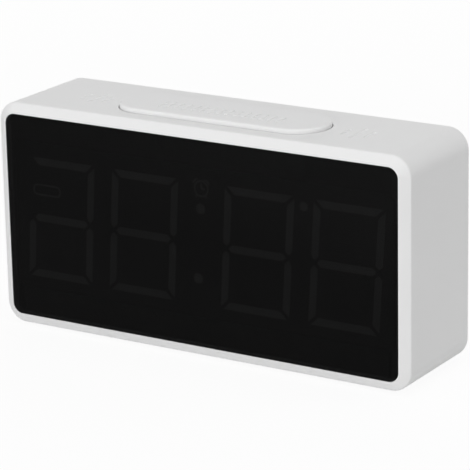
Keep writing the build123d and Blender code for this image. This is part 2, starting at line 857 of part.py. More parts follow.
# Twin lead from the snooze board to the display board
with BuildPart() as snooze_lead:
    for place in (-1, 1):
        lead_x = snooze_board_length / 2 - snooze_lead_end_inset + place * snooze_lead_pitch / 2
        lead_y = front_y + board_back + snooze_lead_back
        lead_bottom_z = snooze_board_bottom_z - snooze_lead_drop
        with BuildLine() as lead_path:
            FilletPolyline(
                (lead_x, lead_y, snooze_board_bottom_z),
                (lead_x, lead_y, lead_bottom_z),
                (lead_x, front_y + board_back, lead_bottom_z),
                radius=lead_bend,
            )
        with BuildSketch(Plane(origin=lead_path.line @ 0, z_dir=lead_path.line % 0)):
            Circle(lead_diameter / 2)
        sweep(path=lead_path.line)

# Rear cover with the battery bay moulded on its inner side
with BuildPart() as rear_cover:
    with BuildSketch(upright(cover_front)):
        RectangleRounded(cover_width, cover_height, cover_corner)
    extrude(amount=cover_thickness, dir=BACK)
    with BuildSketch(upright(cover_front, bay_x, -bay_drop)):
        Rectangle(frame_width, frame_height)
    extrude(amount=frame_drop, dir=FRONT)
    with BuildSketch(upright(bay_floor - bay_wall, bay_x, -bay_drop)):
        Rectangle(bay_length + 2 * bay_wall, bay_height + 2 * bay_wall)
    extrude(amount=door_seat - bay_floor + bay_wall, dir=BACK)
    with BuildSketch(upright(bay_floor, bay_x, -bay_drop)):
        Rectangle(bay_length, bay_height)
    extrude(amount=cover_back - bay_floor, dir=BACK, mode=Mode.SUBTRACT)
    with BuildSketch(upright(door_seat, bay_x, -bay_drop)):
        RectangleRounded(door_width + 2 * door_gap, door_height + 2 * door_gap, door_corner + door_gap)
    extrude(amount=cover_back - door_seat, dir=BACK, mode=Mode.SUBTRACT)
    for hook_x in hook_points:
        slot_width = hook_width + 2 * hook_clearance
        slot_bottom = door_top - door_ledge - hook_clearance
        slot_top = door_top + hook_reach + hook_clearance
        with BuildSketch(upright(hook_slot_front, hook_x, (slot_bottom + slot_top) / 2)):
            Rectangle(slot_width, slot_top - slot_bottom)
        extrude(amount=cover_front - hook_slot_front, dir=BACK, mode=Mode.SUBTRACT)
        slot_lip = door_top + door_gap
        with BuildSketch(upright(cover_front, hook_x, (slot_bottom + slot_lip) / 2)):
            Rectangle(slot_width, slot_lip - slot_bottom)
        extrude(amount=cover_thickness, dir=BACK, mode=Mode.SUBTRACT)
    for tail_x, tail_rise in ((bay_left - bay_wall, cell_rises[0]), (bay_right, cell_rises[-1])):
        with BuildSketch(endwise(tail_x, cell_centre, tail_rise, 1)):
            Rectangle(contact_thickness + 2 * tail_clearance, tail_width + 2 * tail_clearance)
        extrude(amount=bay_wall, mode=Mode.SUBTRACT)
    with BuildSketch(upright(cover_back, bay_x, door_top - door_height - door_gap)):
        SlotOverall(thumb_width, 2 * thumb_height)
    extrude(amount=thumb_depth, dir=FRONT, mode=Mode.SUBTRACT)
    with BuildSketch(upright(cover_front)):
        with Locations(*button_points):
            Circle(button_diameter / 2 + button_clearance)
        with Locations(slide_point):
            Rectangle(
                slide_knob_length + slide_travel + 2 * slide_knob_clearance,
                slide_knob_width + 2 * slide_knob_clearance,
            )
        with Locations(inlet_point):
            SlotOverall(inlet_width + 2 * inlet_clearance, inlet_height + 2 * inlet_clearance)
        with Locations(buzzer_point):
            Circle(sound_hole / 2)
            with PolarLocations(sound_ring, sound_ring_holes):
                Circle(sound_hole / 2)
        with Locations(*cover_screw_points):
            Circle(through_hole / 2)
    extrude(amount=cover_thickness, dir=BACK, mode=Mode.SUBTRACT)
    with BuildSketch(upright(cover_back)):
        with Locations(*cover_screw_points):
            Circle(cover_screw_head / 2 + counterbore_clearance)
    extrude(amount=counterbore_depth, dir=FRONT, mode=Mode.SUBTRACT)
    with BuildSketch(upright(cover_front)):
        with Locations(*button_board_screw_points):
            Circle(button_boss_diameter / 2)
    extrude(amount=cover_front - button_board_back, dir=FRONT)
    with BuildSketch(upright(button_board_back)):
        with Locations(*button_board_screw_points):
            Circle(pilot / 2)
    extrude(amount=board_screw_length - board_thickness + tip_clearance, dir=BACK, mode=Mode.SUBTRACT)

with BuildPart() as rear_cover_screws:
    with BuildSketch(upright(cover_screw_seat)):
        with Locations(*cover_screw_points):
            Circle(cover_screw_head / 2)
    extrude(amount=cover_screw_head_height, dir=BACK)
    with BuildSketch(upright(cover_screw_seat)):
        with Locations(*cover_screw_points):
            Circle(screw_shank / 2)
    extrude(amount=cover_screw_length, dir=FRONT)
    with BuildSketch(upright(cover_screw_seat + cover_screw_head_height)):
        with Locations(*cover_screw_points):
            Rectangle(cross_length, cross_width)
            Rectangle(cross_width, cross_length)
    extrude(amount=cross_depth, dir=FRONT, mode=Mode.SUBTRACT)

# Battery door: hooks along its top edge, a slit latch tongue at the bottom
with BuildPart() as battery_door:
    with BuildSketch(upright(door_front, bay_x, -bay_drop)):
        RectangleRounded(door_width, door_height, door_corner)
    extrude(amount=door_thickness, dir=BACK)
    for hook_x in hook_points:
        with BuildSketch(upright(hook_front, hook_x, door_top - hook_root / 2)):
            Rectangle(hook_width, hook_root)
        extrude(amount=door_front - hook_front, dir=BACK)
        with BuildSketch(upright(hook_front, hook_x, door_top + (hook_reach - hook_root) / 2)):
            Rectangle(hook_width, hook_reach + hook_root)
        extrude(amount=hook_thickness, dir=BACK)
    with BuildSketch(upright(door_front, bay_x, door_top - door_height + latch_length / 2)):
        with GridLocations(latch_width, 0, 2, 1):
            Rectangle(latch_slit, latch_length)
    extrude(amount=door_thickness, dir=BACK, mode=Mode.SUBTRACT)

# Three cells, turned end for end row by row
with BuildPart() as battery_cells:
    for rise, heading in zip(cell_rises, cell_headings):
        nub_end = contact_thickness + bump_height
        shoulder = bay_x + heading * (bay_length / 2 - nub_end - nub_length)
        with BuildSketch(endwise(shoulder, cell_centre, rise, -heading)):
            Circle(cell_diameter / 2)
        can = extrude(amount=cell_length)
        fillet(can.edges().filter_by(GeomType.CIRCLE), cell_round)
        with BuildSketch(endwise(shoulder, cell_centre, rise, heading)):
            Circle(nub_diameter / 2)
        extrude(amount=nub_length)


def contact_plate(x, rise, heading, height):
    """Flat contact against an end wall of the bay, facing along its heading."""
    with BuildSketch(endwise(x, cell_centre, rise, heading)) as plate:
        Rectangle(height, contact_side)
    extrude(plate.sketch, amount=contact_thickness)


def contact_bump(x, rise, heading):
    """Raised pad that meets the cell's nub."""
    with BuildSketch(endwise(x + heading * contact_thickness, cell_centre, rise, heading)) as bump:
        Circle(bump_diameter / 2)
    extrude(bump.sketch, amount=bump_height)


contact_coil_length = contact_spring_length - contact_spring_wire + contact_embed - contact_touch


def contact_spring(x, rise, heading):
    """Tapered coil that presses on the cell's flat end."""
    foot = x + heading * (contact_thickness + contact_spring_wire / 2 - contact_embed)
    sweep_coil(
        endwise(foot, cell_centre, rise, heading),
        contact_spring_base,
        contact_spring_tip,
        contact_coil_length,
        contact_spring_turns,
        contact_spring_wire,
    )


def contact_tail(x, rise, heading):
    """Solder tail through the end wall."""
    with BuildSketch(endwise(x, cell_centre, rise, -heading)) as tail:
        Rectangle(contact_thickness, tail_width)
    extrude(tail.sketch, amount=bay_wall + tail_out)


# Contacts: one at each end of the chain with a tail, and two links between neighbours
with BuildPart() as positive_contact:
    contact_plate(bay_left, cell_rises[0], 1, contact_side)
    contact_bump(bay_left, cell_rises[0], 1)
    contact_tail(bay_left, cell_rises[0], 1)

with BuildPart() as right_link_contact:
    link_rise = (cell_rises[0] + cell_rises[1]) / 2
    contact_plate(bay_right, link_rise, -1, contact_side + cell_pitch)
    contact_spring(bay_right, cell_rises[0], -1)
    contact_bump(bay_right, cell_rises[1], -1)

with BuildPart() as left_link_contact:
    link_rise = (cell_rises[1] + cell_rises[2]) / 2
    contact_plate(bay_left, link_rise, 1, contact_side + cell_pitch)
    contact_spring(bay_left, cell_rises[1], 1)
    contact_bump(bay_left, cell_rises[2], 1)

with BuildPart() as negative_contact:
    contact_plate(bay_right, cell_rises[-1], -1, contact_side)
    contact_spring(bay_right, cell_rises[-1], -1)
    contact_tail(bay_right, cell_rises[-1], -1)


def battery_lead(wall_x, rise, heading):
    """Lead from a contact's tail, out from the bay and forward to the display board."""
    tail_x = wall_x + heading * (bay_wall + tail_out)
    turn_x = tail_x + heading * lead_run
    with BuildLine() as route:
        FilletPolyline(
            (tail_x, front_y + cell_centre, mid_z + rise),
            (turn_x, front_y + cell_centre, mid_z + rise),
            (turn_x, front_y + board_back, mid_z + rise),
            radius=lead_bend,
        )
    with BuildSketch(Plane(origin=route.line @ 0, z_dir=route.line % 0)) as lead_end:
        Circle(lead_diameter / 2)
    sweep(lead_end.sketch, path=route.line)


with BuildPart() as positive_lead:
    battery_lead(bay_left, cell_rises[0], -1)

with BuildPart() as negative_lead:
    battery_lead(bay_right, cell_rises[-1], 1)

# Button board on the rear cover's bosses
with BuildPart() as button_board:
    with BuildSketch(upright(button_board_front, button_board_x)):
        Rectangle(button_board_width, button_board_height)
    extrude(amount=board_thickness, dir=BACK)
    with BuildSketch(upright(button_board_front)):
        with Locations(*button_board_screw_points):
            Circle(through_hole / 2)
    extrude(amount=board_thickness, dir=BACK, mode=Mode.SUBTRACT)

with BuildPart() as button_board_screws:
    with BuildSketch(upright(button_board_front)):
        with Locations(*button_board_screw_points):
            Circle(screw_head / 2)
    extrude(amount=screw_head_height, dir=FRONT)
    with BuildSketch(upright(button_board_front)):
        with Locations(*button_board_screw_points):
            Circle(screw_shank / 2)
    extrude(amount=board_screw_length, dir=BACK)
    with BuildSketch(upright(button_board_front - screw_head_height)):
        with Locations(*button_board_screw_points):
            Rectangle(cross_length, cross_width)
            Rectangle(cross_width, cross_length)
    extrude(amount=cross_depth, dir=BACK, mode=Mode.SUBTRACT)

# Four push switches and the buttons that press them
with BuildPart() as button_switches:
    with BuildSketch(upright(button_board_back)):
        with Locations(*button_points):
            RectangleRounded(switch_side, switch_side, switch_corner)
    extrude(amount=switch_height, dir=BACK)
    with BuildSketch(upright(button_board_back + switch_height)):
        with Locations(*button_points):
            Circle(plunger_bore / 2)
    extrude(amount=switch_bore_depth, dir=FRONT, mode=Mode.SUBTRACT)

buttons = []
for button_name, point in zip(button_names, button_points):
    with BuildPart() as button:
        with BuildSketch(upright(button_flange_front)):
            with Locations(point):
                Circle(button_flange / 2)
        extrude(amount=flange_thickness, dir=BACK)
        with BuildSketch(upright(button_flange_back)):
            with Locations(point):
                Circle(button_diameter / 2)
        extrude(amount=cover_back + button_rise - button_flange_back, dir=BACK)
        fillet(button.faces().sort_by(Axis.Y)[-1].edges(), button_round)
    button.part.label = button_name
    buttons.append(button)
    with BuildPart() as plunger:
        with BuildSketch(upright(button_board_back + switch_height - plunger_engage)):
            with Locations(point):
                Circle(plunger_diameter / 2)
        extrude(amount=plunger_engage + plunger_rise, dir=BACK)
    plunger.part.label = button_name.replace("button", "plunger")
    buttons.append(plunger)

# Alarm slide switch: its slotted body on the board, and the knob that rides in the cover
with BuildPart() as slide_switch:
    with BuildSketch(upright(button_board_back)):
        with Locations(slide_point):
            Rectangle(slide_body_length, slide_body_width)
    extrude(amount=slide_body_height, dir=BACK)
    with BuildSketch(upright(button_board_back + slide_body_height)):
        with Locations(slide_point):
            Rectangle(
                slide_stem + slide_travel + 2 * slide_stem_clearance,
                slide_stem + 2 * slide_stem_clearance,
            )
    extrude(amount=slide_stem_engage + slide_stem_clearance, dir=FRONT, mode=Mode.SUBTRACT)

with BuildPart() as slide_knob:
    slide_plate_back = cover_front - stop_gap
    slide_plate_front = slide_plate_back - slide_plate_thickness
    stem_tip = button_board_back + slide_body_height - slide_stem_engage
    with BuildSketch(upright(slide_plate_front)):
        with Locations(slide_rest):
            Rectangle(slide_plate_length, slide_plate_width)
    extrude(amount=slide_plate_thickness, dir=BACK)
    with BuildSketch(upright(slide_plate_back)):
        with Locations(slide_rest):
            Rectangle(slide_knob_length, slide_knob_width)
    extrude(amount=cover_back + slide_knob_rise - slide_plate_back, dir=BACK)
    with BuildSketch(upright(stem_tip)):
        with Locations(slide_rest):
            Rectangle(slide_stem, slide_stem)
    extrude(amount=slide_plate_front - stem_tip, dir=BACK)

# Power inlet: a thin metal shell round a contact tongue
with BuildPart() as power_inlet:
    with BuildSketch(upright(button_board_back)):
        with Locations(inlet_point):
            SlotOverall(inlet_width, inlet_height)
    extrude(amount=cover_back - inlet_set_back - button_board_back, dir=BACK)
    with BuildSketch(upright(cover_back - inlet_set_back)):
        with Locations(inlet_point):
            SlotOverall(inlet_width - 2 * inlet_wall, inlet_height - 2 * inlet_wall)
    extrude(amount=inlet_mouth, dir=FRONT, mode=Mode.SUBTRACT)

with BuildPart() as inlet_tongue:
    with BuildSketch(upright(cover_back - inlet_set_back - inlet_mouth)):
        with Locations(inlet_point):
            Rectangle(tongue_width, tongue_thickness)
    extrude(amount=tongue_length, dir=BACK)

# Buzzer can behind the sound holes
with BuildPart() as buzzer:
    with BuildSketch(upright(button_board_back)):
        with Locations(buzzer_point):
            Circle(buzzer_diameter / 2)
    extrude(amount=cover_front - buzzer_gap - button_board_back, dir=BACK)
    with BuildSketch(upright(cover_front - buzzer_gap)):
        with Locations(buzzer_point):
            Circle(buzzer_hole / 2)
    extrude(amount=buzzer_hole_depth, dir=FRONT, mode=Mode.SUBTRACT)

# Facing sockets on the two boards and the flat cable between them
with BuildPart() as ribbon_sockets:
    with BuildSketch(upright(board_back, button_board_x, -display_socket_drop)):
        Rectangle(socket_length, socket_width)
    extrude(amount=socket_height, dir=BACK)
    with BuildSketch(upright(button_board_front, button_board_x, -button_socket_drop)):
        Rectangle(socket_length, socket_width)
    extrude(amount=socket_height, dir=FRONT)

with BuildPart() as ribbon_cable:
    ribbon_start_y = front_y + board_back + socket_height
    ribbon_end_y = front_y + button_board_front - socket_height
    ribbon_turn_y = (ribbon_start_y + ribbon_end_y) / 2
    ribbon_bend = (ribbon_end_y - ribbon_start_y) / ribbon_bends
    with BuildLine() as ribbon_path:
        FilletPolyline(
            (button_board_x, ribbon_start_y, mid_z - display_socket_drop),
            (button_board_x, ribbon_turn_y, mid_z - display_socket_drop),
            (button_board_x, ribbon_turn_y, mid_z - button_socket_drop),
            (button_board_x, ribbon_end_y, mid_z - button_socket_drop),
            radius=ribbon_bend,
        )
    with BuildSketch(Plane(origin=ribbon_path.line @ 0, x_dir=(1, 0, 0), z_dir=ribbon_path.line % 0)):
        Rectangle(ribbon_width, ribbon_thickness)
    sweep(path=ribbon_path.line)

snooze_gap = coil_gap(
    snooze_spring_radius, snooze_spring_radius, snooze_spring_length, spring_turns, spring_wire
)
contact_gap = coil_gap(
    contact_spring_base, contact_spring_tip, contact_coil_length, contact_spring_turns, contact_spring_wire
)
print(f"least gap between turns: snooze spring {snooze_gap:.2f} mm, contact spring {contact_gap:.2f} mm")

# Name each piece and write it
pieces = {
    "housing": housing,
    "foot_pads": foot_pads,
    "front_lens": front_lens,
    "lens_tape": lens_tape,
    "display_reflector": display_reflector,
    "colon_dots": colon_dots,
    "degree_dot": degree_dot,
    "alarm_marker": alarm_marker,
    "afternoon_marker": afternoon_marker,
    "segment_leds": segment_leds,
    "display_board": display_board,
    "display_board_screws": display_board_screws,
    "control_chip": control_chip,
    "quartz_crystal": quartz_crystal,
    "filter_capacitor": filter_capacitor,
    "temperature_sensor": temperature_sensor,
    "snooze_bar": snooze_bar,
    "snooze_springs": snooze_springs,
    "snooze_board": snooze_board,
    "snooze_board_screws": snooze_board_screws,
    "snooze_switch": snooze_switch,
    "snooze_plunger": snooze_plunger,
    "snooze_lead": snooze_lead,
    "rear_cover": rear_cover,
    "rear_cover_screws": rear_cover_screws,
    "battery_door": battery_door,
    "battery_cells": battery_cells,
    "positive_contact": positive_contact,
    "right_link_contact": right_link_contact,
    "left_link_contact": left_link_contact,
    "negative_contact": negative_contact,
    "positive_lead": positive_lead,
    "negative_lead": negative_lead,
    "button_board": button_board,
    "button_board_screws": button_board_screws,
    "button_switches": button_switches,
    "slide_switch": slide_switch,
    "slide_knob": slide_knob,
    "power_inlet": power_inlet,
    "inlet_tongue": inlet_tongue,
    "buzzer": buzzer,
    "ribbon_sockets": ribbon_sockets,
    "ribbon_cable": ribbon_cable,
}
for label, piece in pieces.items():
    piece.part.label = label

os.makedirs("parts", exist_ok=True)
for piece in [*pieces.values(), *digits, *buttons]:
    export_step(piece.part, f"parts/{piece.part.label}.step")
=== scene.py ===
import json
from math import atan2, copysign, cos, hypot, pi, radians, sin

import bmesh
import bpy
from bpy.props import FloatProperty, FloatVectorProperty, IntProperty, PointerProperty
from mathutils import Matrix, Vector


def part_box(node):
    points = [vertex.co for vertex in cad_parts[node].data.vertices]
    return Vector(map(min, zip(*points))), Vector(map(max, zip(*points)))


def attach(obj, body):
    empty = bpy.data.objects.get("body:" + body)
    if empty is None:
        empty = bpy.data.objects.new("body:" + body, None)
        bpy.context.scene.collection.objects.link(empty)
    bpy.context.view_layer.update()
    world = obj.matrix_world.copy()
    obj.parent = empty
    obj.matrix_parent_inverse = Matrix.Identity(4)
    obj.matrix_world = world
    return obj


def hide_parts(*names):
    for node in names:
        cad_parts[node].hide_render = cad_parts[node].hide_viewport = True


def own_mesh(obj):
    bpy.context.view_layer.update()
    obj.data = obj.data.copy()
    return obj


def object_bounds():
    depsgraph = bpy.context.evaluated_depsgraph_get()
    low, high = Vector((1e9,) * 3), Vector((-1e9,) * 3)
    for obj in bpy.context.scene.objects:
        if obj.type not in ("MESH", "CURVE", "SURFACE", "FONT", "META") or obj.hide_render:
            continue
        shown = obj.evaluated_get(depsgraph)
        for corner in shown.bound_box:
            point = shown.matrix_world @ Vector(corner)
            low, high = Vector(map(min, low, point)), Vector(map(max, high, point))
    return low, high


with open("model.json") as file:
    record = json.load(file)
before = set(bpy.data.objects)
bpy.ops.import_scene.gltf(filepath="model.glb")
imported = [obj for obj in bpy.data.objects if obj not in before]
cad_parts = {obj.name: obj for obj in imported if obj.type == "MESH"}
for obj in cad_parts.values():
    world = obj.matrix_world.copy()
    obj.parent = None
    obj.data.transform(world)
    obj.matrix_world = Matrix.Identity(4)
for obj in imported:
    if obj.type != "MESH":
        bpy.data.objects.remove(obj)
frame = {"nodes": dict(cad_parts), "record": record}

bl_info = {
    "name": "Mirror Alarm Clock",
    "version": (1, 0, 0),
    "blender": (4, 5, 0),
    "location": "View3D > Sidebar > Clock",
    "description": "Dresses a digital alarm clock with its finishes, raised marks and a studio stage",
    "category": "Object",
}

# One millimetre in metres
MM = 0.001

# What the frame gives: the solids' box, base colours of the slots, and the nodes that use each slot
CAD_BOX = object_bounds()
BASE = {entry["slot"]: tuple(entry["base_color"]) for entry in frame["record"]["materials"]}
SLOT_NODES = {slot: [] for slot in BASE}
for part in frame["record"]["subparts"]:
    SLOT_NODES[part["material_slot"]].append(part["node"])

# Mesh detail of strokes, rings, turned forms and their rounded edges
STROKE_SIDES = 20
RING_STEPS = 64
RING_SIDES = 10
ARC_STEPS = 6
TURN_STEPS = 48
EDGE_STEPS = 3
RIM_STEPS = 4
CORNER_STEPS = 6
MERGE = 0.001 * MM
SMOOTH_ANGLE = radians(35)

# Shares of a stroke's rise: below its face, rounded at its edge, kept where another stroke crosses it
SINK = 0.15
EDGE_SHARE = 0.6
LAPPED = 0.85

# Scoop of a groove's bed: rings, share of the depth at its rim and middle, steepness, lap into the wall
SCOOP_RINGS = 6
SCOOP_RIM = 0.03
SCOOP_BED = 0.97
SCOOP_STEEP = 2.6
SCOOP_LAP = 0.02 * MM

# Clock symbols: hands as shares of the radius, gaps to bells and feet in strokes, tilts from upright
LONG_HAND = 0.6
SHORT_HAND = 0.45
BELL_GAP = 1.5
BELL_TILT = radians(42)
BELL_SWEEP = radians(40)
FOOT_GAP = 0.5
FOOT_TILT = radians(35)

# Print on the back: scale of the slide switch's symbol, and capitals as a share of a font's size
SLIDE_SYMBOL = 0.8
CAPITALS = 0.7

# Plain mouldings: finish of each slot, size of its grain in millimetres, roughness, depth of its grain
MOULDINGS = {
    "tape": ("foam_tape", 0.6, 0.85, 0.08),
    "black_moulding": ("black_block", 0.4, 0.6, 0.03),
    "light_chip": ("chip_resin", 0.2, 0.3, 0.03),
    "black_component": ("moulded_epoxy", 0.25, 0.55, 0.03),
    "switch_body": ("switch_moulding", 0.35, 0.45, 0.03),
    "switch_plunger": ("ivory_moulding", 0.35, 0.4, 0.03),
    "cream_socket": ("cream_moulding", 0.35, 0.42, 0.03),
    "red_wire": ("red_insulation", 0.5, 0.42, 0.03),
    "black_wire": ("black_insulation", 0.5, 0.42, 0.03),
    "grey_button": ("grey_moulding", 0.45, 0.5, 0.03),
    "dark_knob": ("knob_moulding", 0.35, 0.5, 0.03),
    "foot_rubber": ("foot_rubber_grain", 0.5, 0.8, 0.06),
}

# Colour sockets of a Mix node: its two inputs, and its output
MIX_LOW, MIX_HIGH = 6, 7
MIX_RESULT = 2

# Stretch of a pattern's coordinates: drawn or wrinkled along X, or even
DRAWN = (60, 2400, 2400)
WRINKLED = (30, 500, 500)
EVEN = (900, 900, 900)

# Metals: finish of each slot, roughness, and the stretch of its lines
METALS = {
    "bright_metal": ("plated_can", 0.24, DRAWN),
    "spring_steel": ("nickel_plate", 0.3, DRAWN),
    "screw_steel": ("zinc_plate", 0.34, EVEN),
}

# Flat cable: wave scale that gives a rib to each wire, and its marked edge wire
RIB_SCALE = 247.0
EDGE_WIRE = 1.2 * MM
EDGE_WIRE_RED = (0.5, 0.04, 0.04)

# Places of the materials: the dark fill of a display symbol, and the three of a cell
DARK = 1
FILM, BAND, STEEL = range(3)

# Floor in metres: half its width, and the ring over which it fades into the white surround
FLOOR_HALF = 4.0
FADE_START = 0.15
FADE_END = 1.2

# Softboxes in metres: name, place, width, height, and whether gloss shows it
SOFTBOXES = (
    ("front", (0.12, -1.10, 0.22), 1.0, 0.4, False),
    ("top", (0.10, -0.10, 1.25), 1.0, 0.8, False),
    ("side", (0.90, 0.68, 0.47), 0.6, 0.8, True),
    ("back", (-0.60, 1.05, 0.20), 0.9, 0.35, False),
)


def short_form(kind, **limits):
    """Make a short form of one kind of setting, which takes its name, description and default."""

    def make(name, description, default):
        return kind(name=name, description=description, default=default, **limits)

    return make


# Kinds of setting that a user can change
count = short_form(IntProperty, min=1)
metres = short_form(FloatProperty, unit="LENGTH", subtype="DISTANCE")
point = short_form(FloatVectorProperty, unit="LENGTH", subtype="TRANSLATION")
focus = short_form(FloatProperty, unit="CAMERA", subtype="DISTANCE_CAMERA")
angle = short_form(FloatProperty, subtype="ANGLE")
share = short_form(FloatProperty, min=0.0, max=1.0, subtype="FACTOR")
power = short_form(FloatProperty, min=0.0, subtype="POWER")
colour = short_form(FloatVectorProperty, size=3, min=0.0, max=1.0, subtype="COLOR")


def length(name, description, millimetres):
    """A length setting, given in millimetres and kept in metres."""
    return metres(name, description, millimetres * MM)


class ClockSizes(bpy.types.PropertyGroup):
    """Sizes of the marks and pieces that dress the clock."""

    grip_count: count("Grip Ribs", "Ribs on the snooze bar", 15)
    grip_pitch: length("Grip Pitch", "From one grip rib to the next", 3.1)
    grip_length: length("Grip Length", "Length of each grip rib", 4.4)
    grip_width: length("Grip Width", "Width of each grip rib", 1.0)
    grip_rise: length("Grip Rise", "Height of each grip rib", 0.28)
    grip_front: length("Grip Front", "From the bar's middle line to the grip ribs", 1.7)
    groove_middle: length("Groove Middle", "From the bar's middle to a middle groove", 47.9)
    groove_pitch: length("Groove Pitch", "From one groove in the shell to the next", 4.15)
    groove_length: length("Groove Length", "Length of the outer grooves", 6.9)
    groove_extra: length("Groove Extra", "How much longer the middle grooves are", 4.4)
    groove_width: length("Groove Width", "Width of the grooves", 1.3)
    groove_depth: length("Groove Depth", "Depth of the grooves", 0.4)
    mask_inset: length("Mask Inset", "From the lens's edge to the printed border", 0.4)
    mask_overlap: length("Mask Overlap", "Overlap of the printed border on the display", 1.2)
    mask_corner: length("Mask Corner", "Rounding of the border's corners", 2.5)
    mask_print: length("Mask Print", "Thickness of the printed border", 0.03)
    mask_gap: length("Mask Gap", "Clearance between the lens and the border", 0.02)
    symbol_stroke: length("Symbol Stroke", "Stroke of the display's symbols", 0.6)
    symbol_rise: length("Symbol Rise", "Thickness of the display symbols' ink", 0.08)
    symbol_radius: length("Symbol Radius", "Radius of the alarm symbol's clock face", 2.45)
    symbol_edge: length("Symbol Edge", "Rounding of a symbol's dark fill", 0.05)
    print_stroke: length("Print Stroke", "Stroke of the symbols on the back", 0.45)
    print_rise: length("Print Rise", "Thickness of the printed ink", 0.05)
    print_radius: length("Print Radius", "Radius of the printed clock faces", 1.9)
    print_gap: length("Print Gap", "From a control's top to its symbol's middle", 5.0)
    letter_height: length("Letter Height", "Height of the slide switch's lettering", 1.9)
    letter_offset: length("Letter Offset", "From the slide switch's middle to its lettering", 6.8)
    ridge_count: count("Door Ridges", "Ridges on the battery door", 3)
    ridge_pitch: length("Ridge Pitch", "From one door ridge to the next", 1.5)
    ridge_length: length("Ridge Length", "Length of a door ridge", 8.6)
    ridge_width: length("Ridge Width", "Width of a door ridge", 0.7)
    ridge_rise: length("Ridge Rise", "Height of a door ridge", 0.35)
    arrow_height: length("Arrow Height", "From the door's lower edge to its arrow", 10.5)
    knob_ridge: length("Knob Ridge", "Width of the ridges on the slide knob", 0.5)
    knob_ridge_length: length("Knob Ridge Length", "Length of the ridges on the slide knob", 1.5)
    spring_turns: count("Spring Turns", "Turns of a snooze return spring", 5)
    spring_wire: length("Spring Wire", "Wire of the snooze return springs", 0.5)
    foot_diameter: length("Foot Diameter", "Diameter of a foot", 10.0)
    foot_round: length("Foot Round", "Rounding of a foot's lower edge", 0.3)
    foot_dish: length("Foot Dish", "Depth of the dish under a foot", 0.25)
    foot_land: length("Foot Land", "Width of the ring under a foot", 1.4)
    cell_length: length("Cell Length", "Length of a cell with its nub", 44.5)
    cell_nub: length("Cell Nub", "Diameter of a cell's positive nub", 3.8)
    cell_recess: length("Cell Recess", "Depth of a cell's bare ends in its lips", 0.2)
    cell_nub_rise: length("Cell Nub Rise", "Height of a cell's positive nub", 0.9)
    cell_lip: length("Cell Lip", "Width of the jacket's turned-in lip", 0.8)
    cell_band: length("Cell Band", "Length of the band at a cell's positive end", 9.0)


class ClockColours(bpy.types.PropertyGroup):
    """Base colours of the clock's visible finishes."""

    shell: colour("Shell", "White shell and snooze bar", BASE["white_shell"])
    back: colour("Back", "Rear cover and battery door", BASE["white_back"])
    lens: colour("Lens", "Smoked mirror lens", (0.012, 0.012, 0.012))
    lens_mask: colour("Lens Mask", "Black border printed behind the lens", (0.006, 0.006, 0.006))
    lens_clear: share("Lens Clearness", "How much light each face of the lens lets through", 0.27)
    diffuser: colour("Diffuser", "Unlit digits and markers", BASE["diffuser"])
    button: colour("Buttons", "Set buttons", BASE["grey_button"])
    ink: colour("Ink", "Printed symbols on the back", (0.16, 0.16, 0.17))
    board: colour("Boards", "Solder mask of the circuit boards", BASE["green_board"])
    copper: colour("Copper", "Tracks and pads under the solder mask", (0.09, 0.33, 0.13))
    jacket: colour("Cell Jacket", "Film round the cells", BASE["cell_jacket"])
    band: colour("Cell Band", "Band at the positive end of the cells", (0.62, 0.36, 0.12))


class ClockStage(bpy.types.PropertyGroup):
    """Camera and light of the studio stage."""

    yaw: angle("Yaw", "Camera's turn to the right of the front", radians(32.13))
    pitch: angle("Pitch", "Camera's height above the horizon", radians(16.94))
    roll: angle("Roll", "Camera's turn about its own axis", radians(-1.171))
    distance: length("Distance", "From the camera to its target", 843.59)
    target: point("Target", "Middle of the picture", (14.587 * MM, -19.75 * MM, 42.745 * MM))
    focal: focus("Focal Length", "Camera's lens on a 36 mm sensor", 210.03)
    ambient: share("Ambient", "Level of the even light from all round", 0.234)
    front_power: power("Front Power", "Low softbox in front", 6.4)
    top_power: power("Top Power", "Softbox overhead", 6.25)
    side_power: power("Side Power", "Softbox at the right, a little behind", 2.23)
    back_power: power("Back Power", "Low softbox behind", 4.8)
    floor_glow: share("Floor Glow", "Share of the floor's white that shows no shadow", 0.93)
    floor: colour("Floor", "Colour of the floor", (0.8, 0.8, 0.8))


def math_methods(operation):
    """The two methods of an operator, plain and reflected, that add its Math node."""

    def plain(self, other):
        return self.nodes.add("Math", {0: self, 1: other}, operation=operation)

    def reflected(self, other):
        return self.nodes.add("Math", {0: other, 1: self}, operation=operation)

    return plain, reflected


class Value:
    """One output socket of a node tree: arithmetic on it adds Math nodes."""

    def __init__(self, nodes, socket):
        self.nodes = nodes
        self.socket = socket

    __add__, __radd__ = math_methods("ADD")
    __sub__, __rsub__ = math_methods("SUBTRACT")
    __mul__, __rmul__ = math_methods("MULTIPLY")
    __or__, __ror__ = math_methods("MAXIMUM")
    __lt__, __gt__ = math_methods("LESS_THAN")


